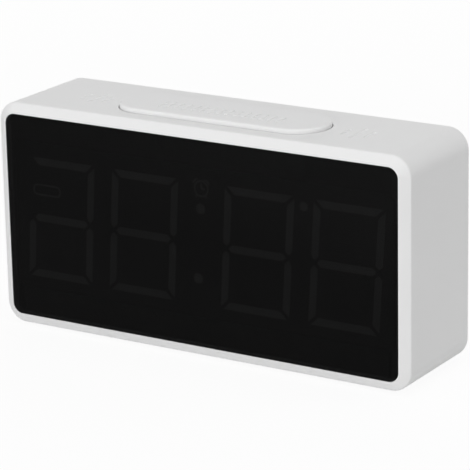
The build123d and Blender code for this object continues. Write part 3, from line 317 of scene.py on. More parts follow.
class Nodes:
    """The node tree of one material or of the world."""

    def __init__(self, owner):
        owner.use_nodes = True
        self.tree = owner.node_tree
        self.tree.nodes.clear()

    def add(self, kind, sockets=None, output=0, **settings):
        """Add a shader node: its settings first, then a value or a link for each socket."""
        node = self.tree.nodes.new(f"ShaderNode{kind}")
        for name, value in settings.items():
            setattr(node, name, value)
        for name, value in (sockets or {}).items():
            if isinstance(value, Value):
                self.tree.links.new(value.socket, node.inputs[name])
            else:
                node.inputs[name].default_value = value
        return Value(self, node.outputs[output]) if node.outputs else None

    def place(self, scale=(1, 1, 1), turn=(0, 0, 0)):
        """Object coordinates, stretched or turned for a pattern that has a direction."""
        coordinates = self.add("TexCoord", output="Object")
        sockets = {"Vector": coordinates, "Scale": scale, "Rotation": turn}
        return self.add("Mapping", sockets)

    def noise(self, size, detail=2.0, place=None):
        """Cloudy noise whose patches are about a size in metres across."""
        sockets = {"Vector": place or self.place(), "Scale": 1 / size, "Detail": detail}
        return self.add("TexNoise", sockets)

    def blend(self, factor, low, high):
        """Colour between two colours or links."""
        sides = [side if isinstance(side, Value) else (*side, 1.0) for side in (low, high)]
        sockets = {0: factor, MIX_LOW: sides[0], MIX_HIGH: sides[1]}
        return self.add("Mix", sockets, MIX_RESULT, data_type="RGBA")

    def bump(self, height, depth, strength=1.0):
        """Normal raised by a height."""
        sockets = {"Height": height, "Distance": depth, "Strength": strength}
        return self.add("Bump", sockets)


def darker(base, amount):
    """A colour made darker by a share."""
    return tuple(channel * (1 - amount) for channel in base)


def new_finish(name, surface, *options):
    """Make a material: surface(nodes, *options) gives the sockets of its shader."""
    material = bpy.data.materials.new(name)
    nodes = Nodes(material)
    shader = nodes.add("BsdfPrincipled", surface(nodes, *options))
    nodes.add("OutputMaterial", {"Surface": shader})
    return material


def dress(slot, surface, *options, name=None):
    """Give the nodes of a slot a new finish, named after its surface unless a name is given."""
    material = new_finish(name or surface.__name__, surface, *options)
    for node in SLOT_NODES[slot]:
        frame["nodes"][node].material_slots[0].material = material


def mould(slot, base=None):
    """Dress a slot as a plain moulding, in the record's colour unless another is given."""
    name, grain, roughness, depth = MOULDINGS[slot]
    base = BASE[slot] if base is None else base
    dress(slot, moulding, base, grain * MM, roughness, depth * MM, name=name)


def finish_of(node):
    """The finish that a node wears now."""
    return frame["nodes"][node].material_slots[0].material


def satin_shell(nodes, base):
    """White satin moulding: a fine eroded grain, slow flow marks and a few dull patches."""
    flow = nodes.noise(22 * MM, detail=3.0)
    patches = nodes.noise(5 * MM, detail=4.0)
    grain = nodes.noise(0.32 * MM)
    return {
        "Base Color": nodes.blend(flow, darker(base, 0.025), base),
        "Roughness": 0.46 + 0.1 * patches + 0.08 * grain,
        "Specular IOR Level": 0.35,
        "Normal": nodes.bump(grain, 0.02 * MM, strength=0.35),
    }


def matt_back(nodes, base):
    """Matt white moulding with a coarser eroded grain."""
    flow = nodes.noise(18 * MM, detail=3.0)
    grain = nodes.noise(0.55 * MM, detail=3.0)
    return {
        "Base Color": nodes.blend(flow, darker(base, 0.05), base),
        "Roughness": 0.5 + 0.12 * grain + 0.08 * flow,
        "Specular IOR Level": 0.35,
        "Normal": nodes.bump(grain, 0.05 * MM, strength=0.6),
    }


def smoked_mirror(nodes, base, see_through):
    """Polished smoked acrylic, nearly black: faint haze, dust specks, and a painted reflection at its
    upper right.
    """
    haze = nodes.noise(26 * MM, detail=4.0)
    dust = nodes.noise(0.7 * MM, detail=1.0)
    coordinates = {"Vector": nodes.place()}
    across = nodes.add("SeparateXYZ", coordinates, "X")
    height = nodes.add("SeparateXYZ", coordinates, "Z")
    # Painted reflection: a ramp up and to the right over the lens face
    spread = {"Value": height + 0.25 * across, "From Min": 42 * MM, "From Max": 90 * MM}
    film = nodes.add("MapRange", spread)
    polished = nodes.blend(haze, darker(base, 0.92), darker(base, 0.78))
    return {
        # Painted reflection: the polished colour lightens towards the upper right
        "Base Color": nodes.blend(film, polished, darker(base, 0.55)),
        "Roughness": 0.02 + 0.05 * haze + 0.03 * (dust > 0.72),
        "Specular IOR Level": 0.06,
        "Alpha": 1 - see_through,
    }


def milky_diffuser(nodes, base):
    """Milky plastic with faint swirls."""
    swirl = nodes.noise(1.6 * MM, detail=3.0)
    return {
        "Base Color": nodes.blend(swirl, darker(base, 0.12), base),
        "Roughness": 0.3 + 0.15 * swirl,
    }


def moulding(nodes, base, grain_size, roughness, depth):
    """Plain moulded plastic, resin or rubber with its grain and slow shade."""
    flow = nodes.noise(9 * MM, detail=3.0)
    grain = nodes.noise(grain_size, detail=3.0)
    return {
        "Base Color": nodes.blend(flow, darker(base, 0.18), base),
        "Roughness": roughness - 0.06 + 0.08 * flow + 0.08 * grain,
        "Specular IOR Level": 0.4,
        "Normal": nodes.bump(grain, depth, strength=0.7),
    }


def plated_metal(nodes, base, roughness, stretch):
    """Plated metal: fine drawn lines under a mottled bright coat."""
    lines = nodes.noise(1.0, detail=3.0, place=nodes.place(stretch))
    mottle = nodes.noise(1.8 * MM, detail=4.0)
    return {
        "Base Color": nodes.blend(mottle, darker(base, 0.22), base),
        "Metallic": 1.0,
        "Roughness": roughness - 0.06 + 0.12 * lines + 0.1 * mottle,
        "Normal": nodes.bump(lines, 0.01 * MM, strength=0.5),
    }


def solder_mask(nodes, base, copper):
    """Green lacquer over copper tracks and round pads."""
    upright = nodes.place(turn=(pi / 2, 0, 0))
    courses = {"Vector": upright, "Scale": 1.0, "Mortar Size": 0.22 * MM, "Mortar Smooth": 0.2}
    courses |= {"Brick Width": 7.5 * MM, "Row Height": 2.1 * MM}
    tracks = nodes.add("TexBrick", courses, "Fac", offset=0.37, squash=0.6)
    spread = {"Vector": upright, "Scale": 1 / (3.4 * MM)}
    pads = nodes.add("TexVoronoi", spread, feature="F1") < 0.16
    raised = tracks | pads
    weave = nodes.noise(0.5 * MM)
    return {
        "Base Color": nodes.blend(raised, base, copper),
        "Roughness": 0.24 + 0.12 * weave,
        "Normal": nodes.bump(raised + 0.15 * weave, 0.04 * MM, strength=0.7),
    }


def ribbed_cable(nodes, base):
    """Flat cable: one rib for each wire, painted shade in the valleys between ribs, and a marked edge
    wire.
    """
    place = nodes.place()
    wave = {"Vector": place, "Scale": RIB_SCALE}
    ribs = nodes.add("TexWave", wave, bands_direction="X")
    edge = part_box("ribbon_cable")[0].x + EDGE_WIRE
    across = nodes.add("SeparateXYZ", {"Vector": place}, "X")
    # Painted shade: the colour darkens in the valleys between the ribs
    plain = nodes.blend(ribs, darker(base, 0.3), base)
    return {
        "Base Color": nodes.blend(across < edge, plain, EDGE_WIRE_RED),
        "Roughness": 0.45 + 0.1 * ribs,
        "Normal": nodes.bump(ribs, 0.12 * MM),
    }


def printed_film(nodes, base):
    """Shrunk plastic film with fine wrinkles and a satin metal fleck."""
    wrinkles = nodes.noise(1.0, detail=3.0, place=nodes.place(WRINKLED))
    fleck = nodes.noise(0.25 * MM)
    return {
        "Base Color": nodes.blend(fleck, darker(base, 0.15), base),
        "Metallic": 0.35,
        "Roughness": 0.26 + 0.12 * fleck,
        "Normal": nodes.bump(wrinkles, 0.03 * MM, strength=0.6),
    }


def printed_ink(nodes, base):
    """Pad-printed ink, a little thin in places."""
    cover = nodes.noise(0.4 * MM, detail=3.0)
    thin = tuple(channel * 1.35 for channel in base)
    return {
        "Base Color": nodes.blend(cover, base, thin),
        "Roughness": 0.48 + 0.12 * cover,
    }


def facing(origin, across, upward):
    """Matrix of a face: its x, its y and its outward z, about an origin."""
    across, upward = Vector(across), Vector(upward)
    matrix = Matrix((across, upward, across.cross(upward))).transposed().to_4x4()
    matrix.translation = origin
    return matrix


def on_top(x, y, z):
    """Face that looks up."""
    return facing((x, y, z), (1, 0, 0), (0, 1, 0))


def on_front(x, y, z):
    """Face that looks to the front."""
    return facing((x, y, z), (1, 0, 0), (0, 0, 1))


def on_back(x, y, z):
    """Face that looks to the back, where +X is on the left."""
    return facing((x, y, z), (-1, 0, 0), (0, 0, 1))


def centre_of(node):
    """Middle of a node's box at rest."""
    low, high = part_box(node)
    return (low + high) / 2


def mesh_of(name, form):
    """Turn a form into a mesh and free it."""
    mesh = bpy.data.meshes.new(name)
    form.to_mesh(mesh)
    form.free()
    return mesh


def new_object(name, data):
    """Put a mesh, curve, light or camera into the scene."""
    item = bpy.data.objects.new(name, data)
    bpy.context.scene.collection.objects.link(item)
    return item


def join_form(form, extra, place):
    """Move one form into another, onto a face of it."""
    bmesh.ops.transform(extra, matrix=place, verts=extra.verts)
    mesh = mesh_of("joined", extra)
    form.from_mesh(mesh)
    bpy.data.meshes.remove(mesh)


def soften(form, geom, offset, segments, affect="EDGES"):
    """Round the given edges or corners of a form."""
    bmesh.ops.bevel(
        form, geom=geom, offset=offset, affect=affect, segments=segments, profile=0.5, material=-1
    )


def extrude(form, shift):
    """Extrude a flat form by a shift, keep its own faces, and return what is added."""
    added = bmesh.ops.extrude_face_region(form, geom=form.faces[:], use_keep_orig=True)["geom"]
    verts = [item for item in added if isinstance(item, bmesh.types.BMVert)]
    bmesh.ops.translate(form, verts=verts, vec=shift)
    return added


def flat_slot(form, width, straight, axis):
    """Lay a flat slot with round ends about the origin, its straight sides along axis 0 or 1."""
    half_step = Matrix.Rotation(pi / STROKE_SIDES, 4, "Z")
    outline = bmesh.ops.create_circle(
        form, cap_ends=True, segments=STROKE_SIDES, radius=width / 2, matrix=half_step
    )["verts"]
    for vert in outline:
        vert.co[axis] += copysign(straight / 2, vert.co[axis])


def add_stroke(form, place, start, end, width, rise, edge=None):
    """Raise a round-ended stroke between two points of a face, with a softened top edge."""
    start, end = Vector((*start, 0)), Vector((*end, 0))
    span = end - start
    stroke = bmesh.new()
    flat_slot(stroke, width, span.length, 0)
    bmesh.ops.translate(stroke, verts=stroke.verts, vec=(0, 0, -SINK * rise))
    raised = extrude(stroke, (0, 0, (1 + SINK) * rise))
    crown = [item for item in raised if isinstance(item, bmesh.types.BMEdge)]
    soften(stroke, crown, edge or EDGE_SHARE * min(rise, width / 2), EDGE_STEPS)
    turn = Matrix.Rotation(atan2(span.y, span.x), 4, "Z")
    middle = Matrix.Translation((start + end) / 2)
    join_form(form, stroke, place @ middle @ turn)


def add_scoop(form, place, across, along, deep):
    """Line a groove of a face with a strip that dips from its outline to its middle line."""
    bed = bmesh.new()
    flat_slot(bed, across, along - across, 1)
    extrude(bed, (0, 0, -(1 + SINK) * deep))
    bmesh.ops.recalc_face_normals(bed, faces=bed.faces)
    top = max(bed.faces, key=lambda face: face.calc_center_median().z)
    bmesh.ops.translate(bed, verts=top.verts, vec=(0, 0, -SCOOP_RIM * deep))
    inward = across / 2 / (SCOOP_RINGS + 0.5)
    dip = (SCOOP_BED - SCOOP_RIM) * deep
    levels = [dip * (1 - (1 - ring / SCOOP_RINGS) ** SCOOP_STEEP) for ring in range(SCOOP_RINGS + 1)]
    for above, below in zip(levels, levels[1:]):
        depth = above - below
        bmesh.ops.inset_region(
            bed, faces=[top], thickness=inward, depth=depth, use_boundary=True, use_even_offset=True
        )
    join_form(form, bed, place)


def spin(form, sweep, steps, whole, climb=0.0):
    """Turn a profile about z, closed if it goes the whole way round, and climbing if asked."""
    bmesh.ops.spin(
        form,
        geom=form.verts[:] + form.edges[:],
        axis=(0, 0, 1),
        cent=(0, 0, 0),
        dvec=(0, 0, climb / steps),
        angle=sweep,
        steps=steps,
        use_merge=whole,
    )


def add_ring(form, place, centre, radius, width, rise, start=0.0, sweep=2 * pi, climb=0.0):
    """Raise a rounded ring on a face, an arc of one, or a coil that climbs off the face."""
    ring = bmesh.new()
    stand = Matrix.Translation((radius, 0, 0)) @ Matrix.Rotation(pi / 2, 4, "X")
    bmesh.ops.create_circle(ring, segments=RING_SIDES, radius=width / 2, matrix=stand)
    bmesh.ops.scale(ring, vec=(1, 1, 2 * rise / width), verts=ring.verts)
    steps = max(ARC_STEPS, round(RING_STEPS * sweep / (2 * pi)))
    whole = sweep >= 2 * pi and not climb
    spin(ring, sweep, steps, whole, climb)
    if not whole:
        ends = [edge for edge in ring.edges if edge.is_boundary]
        bmesh.ops.holes_fill(ring, edges=ends, sides=0)
    shift = Matrix.Translation((*centre, 0)) @ Matrix.Rotation(start, 4, "Z")
    join_form(form, ring, place @ shift)


def add_letters(form, place, words, height, rise):
    """Add flat lettering centred on a face."""
    curve = bpy.data.curves.new(words, "FONT")
    curve.body = words
    curve.size = height / CAPITALS
    curve.align_x = curve.align_y = "CENTER"
    curve.extrude = rise
    holder = new_object(words, curve)
    bpy.context.view_layer.update()
    mesh = bpy.data.meshes.new_from_object(holder)
    mesh.transform(place)
    form.from_mesh(mesh)
    bpy.data.objects.remove(holder)
    bpy.data.curves.remove(curve)
    bpy.data.meshes.remove(mesh)


def rounded_rim(form, radius, height, soft):
    """Round the ring of edges at a radius and height of a turned form."""
    level = {vert for vert in form.verts if abs(vert.co.z - height) < MERGE}
    ring = {vert for vert in level if abs(hypot(vert.co.x, vert.co.y) - radius) < MERGE}
    soften(form, [edge for edge in form.edges if ring.issuperset(edge.verts)], soft, RIM_STEPS)


def spin_profile(form, place, points, rounds, paint=None):
    """Turn (radius, height) points about a face's axis, round the rims and paint the faces."""
    turned = bmesh.new()
    verts = [turned.verts.new((radius, 0, height)) for radius, height in points]
    for pair in zip(verts, verts[1:]):
        turned.edges.new(pair)
    spin(turned, 2 * pi, TURN_STEPS, True)
    bmesh.ops.remove_doubles(turned, verts=turned.verts, dist=MERGE)
    for rim in rounds:
        rounded_rim(turned, *rim)
    for face in turned.faces:
        middle = face.calc_center_median()
        face.material_index = paint(hypot(middle.x, middle.y), middle.z) if paint else 0
    join_form(form, turned, place)


def round_rectangle(form, place, width, height, corner):
    """Add a sheet with rounded corners on a face."""
    known = set(form.faces)
    stretch = place @ Matrix.Diagonal((width / 2, height / 2, 1, 1))
    corners = bmesh.ops.create_grid(form, x_segments=1, y_segments=1, size=1, matrix=stretch)["verts"]
    soften(form, corners, corner, CORNER_STEPS, "VERTICES")
    return next(face for face in form.faces if face not in known)


def add_piece(name, form, body, finishes, stands_for=()):
    """Close a form into a piece that rides on a body and wears the given finishes."""
    bmesh.ops.recalc_face_normals(form, faces=form.faces)
    for face in form.faces:
        face.smooth = True
    mesh = mesh_of(name, form)
    mesh.set_sharp_from_angle(angle=SMOOTH_ANGLE)
    for finish in finishes:
        mesh.materials.append(finish)
    piece = new_object(name, mesh)
    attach(piece, body)
    if stands_for:
        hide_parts(*stands_for)
    return piece


def draw_clock(form, place, radius, width, rise):
    """Round clock face with two hands."""
    add_ring(form, place, (0, 0), radius, width, rise)
    add_stroke(form, place, (0, 0), (0, LONG_HAND * radius), width, rise)
    add_stroke(form, place, (0, 0), (SHORT_HAND * radius, 0), width, LAPPED * rise)


def draw_alarm(form, place, radius, width, rise):
    """Clock face with two bells on top and two short feet."""
    draw_clock(form, place, radius, width, rise)
    bell = radius + BELL_GAP * width
    foot = radius + FOOT_GAP * width
    for side in (-1, 1):
        middle = pi / 2 + side * BELL_TILT
        add_ring(form, place, (0, 0), bell, width, rise, middle - BELL_SWEEP / 2, BELL_SWEEP)
        heading = Vector((sin(side * FOOT_TILT), -cos(FOOT_TILT)))
        add_stroke(form, place, heading * foot, heading * (foot + width), width, rise)


def draw_pill(form, place, across, height, width, rise):
    """Outline with two straight sides and two round ends."""
    radius = height / 2
    reach = across / 2 - radius
    for side in (-1, 1):
        add_stroke(form, place, (-reach, side * radius), (reach, side * radius), width, LAPPED * rise)
        add_ring(form, place, (side * reach, 0), radius, width, rise, -side * pi / 2, pi)


def draw_chevron(form, place, size, width, rise, upward):
    """Arrow head that points up or down."""
    for side in (-1, 1):
        height = rise if side > 0 else LAPPED * rise
        add_stroke(form, place, (side * size, -upward * size / 2), (0, upward * size / 2), width, height)


def draw_direct_current(form, place, size, width, rise):
    """Long line over a row of three dashes."""
    height = size / 3
    half = size / 5
    pitch = 4 * half
    add_stroke(form, place, (-size, height), (size, height), width, rise)
    for dash in (-1, 0, 1):
        middle = dash * pitch
        add_stroke(form, place, (middle - half, -height), (middle + half, -height), width, rise)


class CLOCK_OT_shell(bpy.types.Operator):
    """Give the shell and the snooze bar their satin white finish"""

    bl_idname = "clock.shell"
    bl_label = "Shell and Snooze Bar"

    def execute(self, context):
        dress("white_shell", satin_shell, context.scene.clock_colours.shell)
        return {"FINISHED"}


class CLOCK_OT_snooze_grip(bpy.types.Operator):
    """Raise a row of grip ribs along the snooze bar"""

    bl_idname = "clock.snooze_grip"
    bl_label = "Snooze Grip"

    def execute(self, context):
        sizes = context.scene.clock_sizes
        form = bmesh.new()
        bar = centre_of("snooze_bar")
        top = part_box("snooze_bar")[1].z
        half = sizes.grip_length / 2
        for rib in range(sizes.grip_count):
            x = bar.x + (rib - (sizes.grip_count - 1) / 2) * sizes.grip_pitch
            place = on_top(x, bar.y - sizes.grip_front, top)
            add_stroke(form, place, (0, -half), (0, half), sizes.grip_width, sizes.grip_rise)
        add_piece("snooze_grip", form, "snooze", [finish_of("snooze_bar")])
        return {"FINISHED"}


class CLOCK_OT_groove_beds(bpy.types.Operator):
    """Line the six grooves beside the snooze bar with a smooth scoop"""

    bl_idname = "clock.groove_beds"
    bl_label = "Groove Beds"

    def execute(self, context):
        sizes = context.scene.clock_sizes
        form = bmesh.new()
        bar = centre_of("snooze_bar")
        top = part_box("housing")[1].z
        width = sizes.groove_width + 2 * SCOOP_LAP
        for side in (-1, 1):
            for step in (-1, 0, 1):
                x = bar.x + side * (sizes.groove_middle + step * sizes.groove_pitch)
                along = sizes.groove_length + 2 * SCOOP_LAP
                if step == 0:
                    along += sizes.groove_extra
                add_scoop(form, on_top(x, bar.y, top), width, along, sizes.groove_depth)
        add_piece("groove_beds", form, "case", [finish_of("housing")])
        return {"FINISHED"}


class CLOCK_OT_lens(bpy.types.Operator):
    """Finish the smoked mirror lens and the tape behind it"""

    bl_idname = "clock.lens"
    bl_label = "Mirror Lens"

    def execute(self, context):
        colours = context.scene.clock_colours
        dress("smoked_lens", smoked_mirror, colours.lens, colours.lens_clear)
        mould("tape")
        return {"FINISHED"}


class CLOCK_OT_lens_mask(bpy.types.Operator):
    """Print a black border on the back of the lens, open where the digits show"""

    bl_idname = "clock.lens_mask"
    bl_label = "Lens Mask"

    def execute(self, context):
        sizes = context.scene.clock_sizes
        form = bmesh.new()
        middle = centre_of("front_lens")
        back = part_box("front_lens")[1].y
        place = on_front(middle.x, back + sizes.mask_gap + sizes.mask_print, middle.z)

        def sheet(node, margin):
            """Rounded sheet as large as a node's front less a margin all round."""
            low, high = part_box(node)
            width = high.x - low.x - 2 * margin
            height = high.z - low.z - 2 * margin
            return round_rectangle(form, place, width, height, sizes.mask_corner)

        outer = sheet("front_lens", sizes.mask_inset)
        inner = sheet("display_reflector", sizes.mask_overlap)
        border = list(outer.edges) + list(inner.edges)
        bmesh.ops.delete(form, geom=[outer, inner], context="FACES_ONLY")
        bmesh.ops.bridge_loops(form, edges=border)
        extrude(form, (0, -sizes.mask_print, 0))
        ink = new_finish("mask_ink", printed_ink, context.scene.clock_colours.lens_mask)
        add_piece("lens_mask", form, "case", [ink])
        return {"FINISHED"}


class CLOCK_OT_display(bpy.types.Operator):
    """Finish the display block, the digits' diffusers and their light chips"""

    bl_idname = "clock.display"
    bl_label = "Display"

    def execute(self, context):
        dress("diffuser", milky_diffuser, context.scene.clock_colours.diffuser)
        mould("black_moulding")
        mould("light_chip")
        return {"FINISHED"}


class CLOCK_OT_display_symbols(bpy.types.Operator):
    """Make the two markers pale symbols on a dark fill: an alarm clock and an open pill"""

    bl_idname = "clock.display_symbols"
    bl_label = "Display Symbols"

    def execute(self, context):
        sizes = context.scene.clock_sizes
        stroke, rise = sizes.symbol_stroke, sizes.symbol_rise
        form, front = self.dark_fill("alarm_marker", sizes)
        draw_alarm(form, front, sizes.symbol_radius, stroke, rise)
        self.add_symbol("alarm_symbol", form, "alarm_marker")
        form, front = self.dark_fill("afternoon_marker", sizes)
        low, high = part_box("afternoon_marker")
        draw_pill(form, front, high.x - low.x - stroke, high.z - low.z - stroke, stroke, rise)
        self.add_symbol("afternoon_symbol", form, "afternoon_marker")
        return {"FINISHED"}

    def dark_fill(self, node, sizes):
        """Fill a marker's window with black, flush with the block, and give the face to draw on."""
        form = bmesh.new()
        low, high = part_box(node)
        middle = centre_of(node)
        height = high.z - low.z
        reach = (high.x - low.x - height) / 2
        window = on_front(middle.x, high.y, middle.z)
        add_stroke(form, window, (-reach, 0), (reach, 0), height, high.y - low.y, sizes.symbol_edge)
        for face in form.faces:
            face.material_index = DARK
        return form, on_front(middle.x, low.y, middle.z)

    def add_symbol(self, name, form, node):
        """Put a symbol in its marker's place."""
        finishes = [finish_of(node), finish_of("display_reflector")]
        add_piece(name, form, "case", finishes, [node])


class CLOCK_OT_boards(bpy.types.Operator):
    """Finish the circuit boards and the parts that stand on them"""

    bl_idname = "clock.boards"
    bl_label = "Boards"

    def execute(self, context):
        colours = context.scene.clock_colours
        dress("green_board", solder_mask, colours.board, colours.copper)
        for slot in ("black_component", "switch_body", "switch_plunger", "cream_socket"):
            mould(slot)
        return {"FINISHED"}


class CLOCK_OT_metalwork(bpy.types.Operator):
    """Finish the springs, contacts, screws and plated cans"""

    bl_idname = "clock.metalwork"
    bl_label = "Metalwork"

    def execute(self, context):
        for slot, (name, roughness, stretch) in METALS.items():
            dress(slot, plated_metal, BASE[slot], roughness, stretch, name=name)
        return {"FINISHED"}


class CLOCK_OT_springs(bpy.types.Operator):
    """Wind the two return springs under the snooze bar"""

    bl_idname = "clock.springs"
    bl_label = "Return Springs"

    def execute(self, context):
        sizes = context.scene.clock_sizes
        form = bmesh.new()
        low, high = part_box("snooze_springs")
        middle = centre_of("snooze_springs")
        wire = sizes.spring_wire
        reach = (high.y - low.y) / 2
        climb = high.z - low.z - wire
        for x in (low.x + reach, high.x - reach):
            place = on_top(x, middle.y, low.z + wire / 2)
            winding = 2 * pi * sizes.spring_turns
            add_ring(form, place, (0, 0), reach - wire / 2, wire, wire / 2, 0.0, winding, climb)
        steel = finish_of("snooze_springs")
        springs = add_piece("return_springs", form, "case", [steel], ["snooze_springs"])
        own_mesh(springs)
        return {"FINISHED"}


class CLOCK_OT_wiring(bpy.types.Operator):
    """Finish the leads and the flat cable inside the case"""

    bl_idname = "clock.wiring"
    bl_label = "Wiring"

    def execute(self, context):
        mould("red_wire")
        mould("black_wire")
        dress("grey_cable", ribbed_cable, BASE["grey_cable"])
        return {"FINISHED"}


class CLOCK_OT_cells(bpy.types.Operator):
    """Make the three cells with their jackets, turned-in lips and steel ends"""

    bl_idname = "clock.cells"
    bl_label = "Cells"

    def execute(self, context):
        sizes = context.scene.clock_sizes
        colours = context.scene.clock_colours
        form = bmesh.new()
        low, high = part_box("battery_cells")
        radius = (high.y - low.y) / 2
        rows = round((high.z - low.z) / (2 * radius))
        pitch = (high.z - low.z - 2 * radius) / (rows - 1)
        nub = sizes.cell_nub / 2
        recess = sizes.cell_recess
        shoulder = -sizes.cell_nub_rise
        foot = -sizes.cell_length
        lip = radius - sizes.cell_lip
        band_end = shoulder - sizes.cell_band
        corners = [(0, 0), (nub, 0), (nub, shoulder - recess), (lip, shoulder - recess), (lip, shoulder)]
        corners += [(radius, shoulder), (radius, band_end), (radius, foot)]
        corners += [(lip, foot), (lip, foot + recess), (0, foot + recess)]
        rounds = [(radius, shoulder, 2 * recess), (radius, foot, 2 * recess), (nub, 0, recess)]

        def film_or_steel(across, height):
            """Bare steel inside the lips, else the band or the film round the can."""
            if across < lip:
                return STEEL
            return BAND if height > band_end else FILM

        for row in range(rows):
            heading = -1 if row % 2 == 0 else 1
            tip = low.x if heading < 0 else high.x
            origin = (tip, (low.y + high.y) / 2, low.z + radius + row * pitch)
            place = facing(origin, (0, heading, 0), (0, 0, 1))
            spin_profile(form, place, corners, rounds, film_or_steel)
        film = new_finish("cell_film", printed_film, colours.jacket)
        band = new_finish("cell_band", printed_film, colours.band)
        finishes = [film, band, finish_of("positive_contact")]
        add_piece("jacketed_cells", form, "case", finishes, ["battery_cells"])
        return {"FINISHED"}


class CLOCK_OT_back(bpy.types.Operator):
    """Finish the rear cover and the battery door, and print the symbols beside the controls"""

    bl_idname = "clock.back"
    bl_label = "Rear Cover"

    def execute(self, context):
        sizes = context.scene.clock_sizes
        colours = context.scene.clock_colours
        dress("white_back", matt_back, colours.back)
        form = bmesh.new()
        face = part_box("rear_cover")[1].y
        radius, stroke, rise = sizes.print_radius, sizes.print_stroke, sizes.print_rise

        def above(control):
            """Place on the cover's face above a control."""
            return on_back(centre_of(control).x, face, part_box(control)[1].z + sizes.print_gap)

        draw_clock(form, above("time_button"), radius, stroke, rise)
        draw_alarm(form, above("alarm_button"), radius, stroke, rise)
        draw_chevron(form, above("up_button"), radius, stroke, rise, 1)
        draw_chevron(form, above("down_button"), radius, stroke, rise, -1)
        draw_alarm(form, above("slide_switch"), SLIDE_SYMBOL * radius, stroke, rise)
        draw_direct_current(form, above("power_inlet"), radius, stroke, rise)
        switch = centre_of("slide_switch")
        for words, side in (("ON", 1), ("OFF", -1)):
            place = on_back(switch.x + side * sizes.letter_offset, face, switch.z)
            add_letters(form, place, words, sizes.letter_height, rise)
        ink = new_finish("printed_ink", printed_ink, colours.ink)
        add_piece("back_marks", form, "case", [ink])
        return {"FINISHED"}


class CLOCK_OT_door_ridges(bpy.types.Operator):
    """Raise the thumb ridges and the arrow on the battery door"""

    bl_idname = "clock.door_ridges"
    bl_label = "Door Ridges"

    def execute(self, context):
        sizes = context.scene.clock_sizes
        form = bmesh.new()
        low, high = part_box("battery_door")
        middle = centre_of("battery_door").x
        half = sizes.ridge_length / 2
        for ridge in range(sizes.ridge_count):
            place = on_back(middle, high.y, low.z + (ridge + 1) * sizes.ridge_pitch)
            add_stroke(form, place, (-half, 0), (half, 0), sizes.ridge_width, sizes.ridge_rise)
        arrow = on_back(middle, high.y, low.z + sizes.arrow_height)
        draw_chevron(form, arrow, sizes.ridge_length / 3, sizes.ridge_width, sizes.ridge_rise, 1)
        add_piece("door_ridges", form, "door", [finish_of("battery_door")])
        return {"FINISHED"}


class CLOCK_OT_controls(bpy.types.Operator):
    """Finish the set buttons and the slide knob, and raise the knob's ridges"""

    bl_idname = "clock.controls"
    bl_label = "Buttons and Slide Knob"

    def execute(self, context):
        sizes = context.scene.clock_sizes
        mould("grey_button", context.scene.clock_colours.button)
        mould("dark_knob")
        form = bmesh.new()
        knob = centre_of("slide_knob")
        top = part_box("slide_knob")[1].y
        reach = sizes.knob_ridge_length / 2
        for ridge in (-1, 0, 1):
            place = on_back(knob.x + 2 * ridge * sizes.knob_ridge, top, knob.z)
            add_stroke(form, place, (0, -reach), (0, reach), sizes.knob_ridge, sizes.knob_ridge / 2)
        add_piece("knob_ridges", form, "alarm_slide", [finish_of("slide_knob")])
        return {"FINISHED"}


class CLOCK_OT_feet(bpy.types.Operator):
    """Make the four rubber feet with a rounded edge and a dished underside"""

    bl_idname = "clock.feet"
    bl_label = "Feet"

    def execute(self, context):
        sizes = context.scene.clock_sizes
        mould("foot_rubber")
        form = bmesh.new()
        low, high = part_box("foot_pads")
        radius = sizes.foot_diameter / 2
        inner = radius - sizes.foot_land
        corners = [(0, high.z), (radius, high.z), (radius, 0), (inner, 0)]
        corners += [(inner - sizes.foot_dish, sizes.foot_dish), (0, sizes.foot_dish)]
        for x in (low.x + radius, high.x - radius):
            for y in (low.y + radius, high.y - radius):
                spin_profile(form, on_top(x, y, low.z), corners, [(radius, 0, sizes.foot_round)])
        rubber = finish_of("foot_pads")
        add_piece("dished_feet", form, "case", [rubber], ["foot_pads"])
        return {"FINISHED"}


def seen_directly(nodes):
    """One for rays from the camera or by way of gloss or glass, which see the white surround."""
    kinds = ("Is Camera Ray", "Is Glossy Ray", "Is Transmission Ray")
    camera, glossy, transmission = [nodes.add("LightPath", output=kind) for kind in kinds]
    return camera | glossy | transmission


def add_floor(stage):
    """Lay a wide pale floor that keeps the clock's shadow and fades into the surround."""
    form = bmesh.new()
    bmesh.ops.create_grid(form, x_segments=1, y_segments=1, size=FLOOR_HALF)
    mesh = mesh_of("studio_floor", form)
    material = bpy.data.materials.new("studio_floor")
    nodes = Nodes(material)
    seen = seen_directly(nodes)
    shade = nodes.blend(seen, stage.floor, (1.0, 1.0, 1.0))
    lit = nodes.add("BsdfDiffuse", {"Color": shade})
    white = nodes.add("Emission", {"Strength": 1.0})
    away = nodes.add("VectorMath", {0: nodes.place()}, "Value", operation="LENGTH")
    ring = {"From Min": FADE_START, "From Max": FADE_END, "To Min": stage.floor_glow, "To Max": 1.0}
    glow = nodes.add("MapRange", {"Value": away, **ring})
    top = nodes.add("MixShader", {0: glow * seen, 1: lit, 2: white})
    clear = nodes.add("BsdfTransparent")
    below = nodes.add("NewGeometry", output="Backfacing")
    surface = nodes.add("MixShader", {0: below, 1: top, 2: clear})
    nodes.add("OutputMaterial", {"Surface": surface})
    mesh.materials.append(material)
    new_object("studio_floor", mesh)


def add_softbox(name, place, aim, width, height, watts, shows):
    """Hang a soft light that faces a point, and that gloss shows unless it only fills."""
    light = bpy.data.lights.new(name, "AREA")
    light.shape = "RECTANGLE"
    light.size = width
    light.size_y = height
    light.energy = watts
    lamp = new_object(name, light)
    lamp.location = place
    lamp.rotation_mode = "QUATERNION"
    lamp.rotation_quaternion = (aim - Vector(place)).to_track_quat("-Z", "Y")
    lamp.visible_camera = False
    lamp.visible_glossy = shows


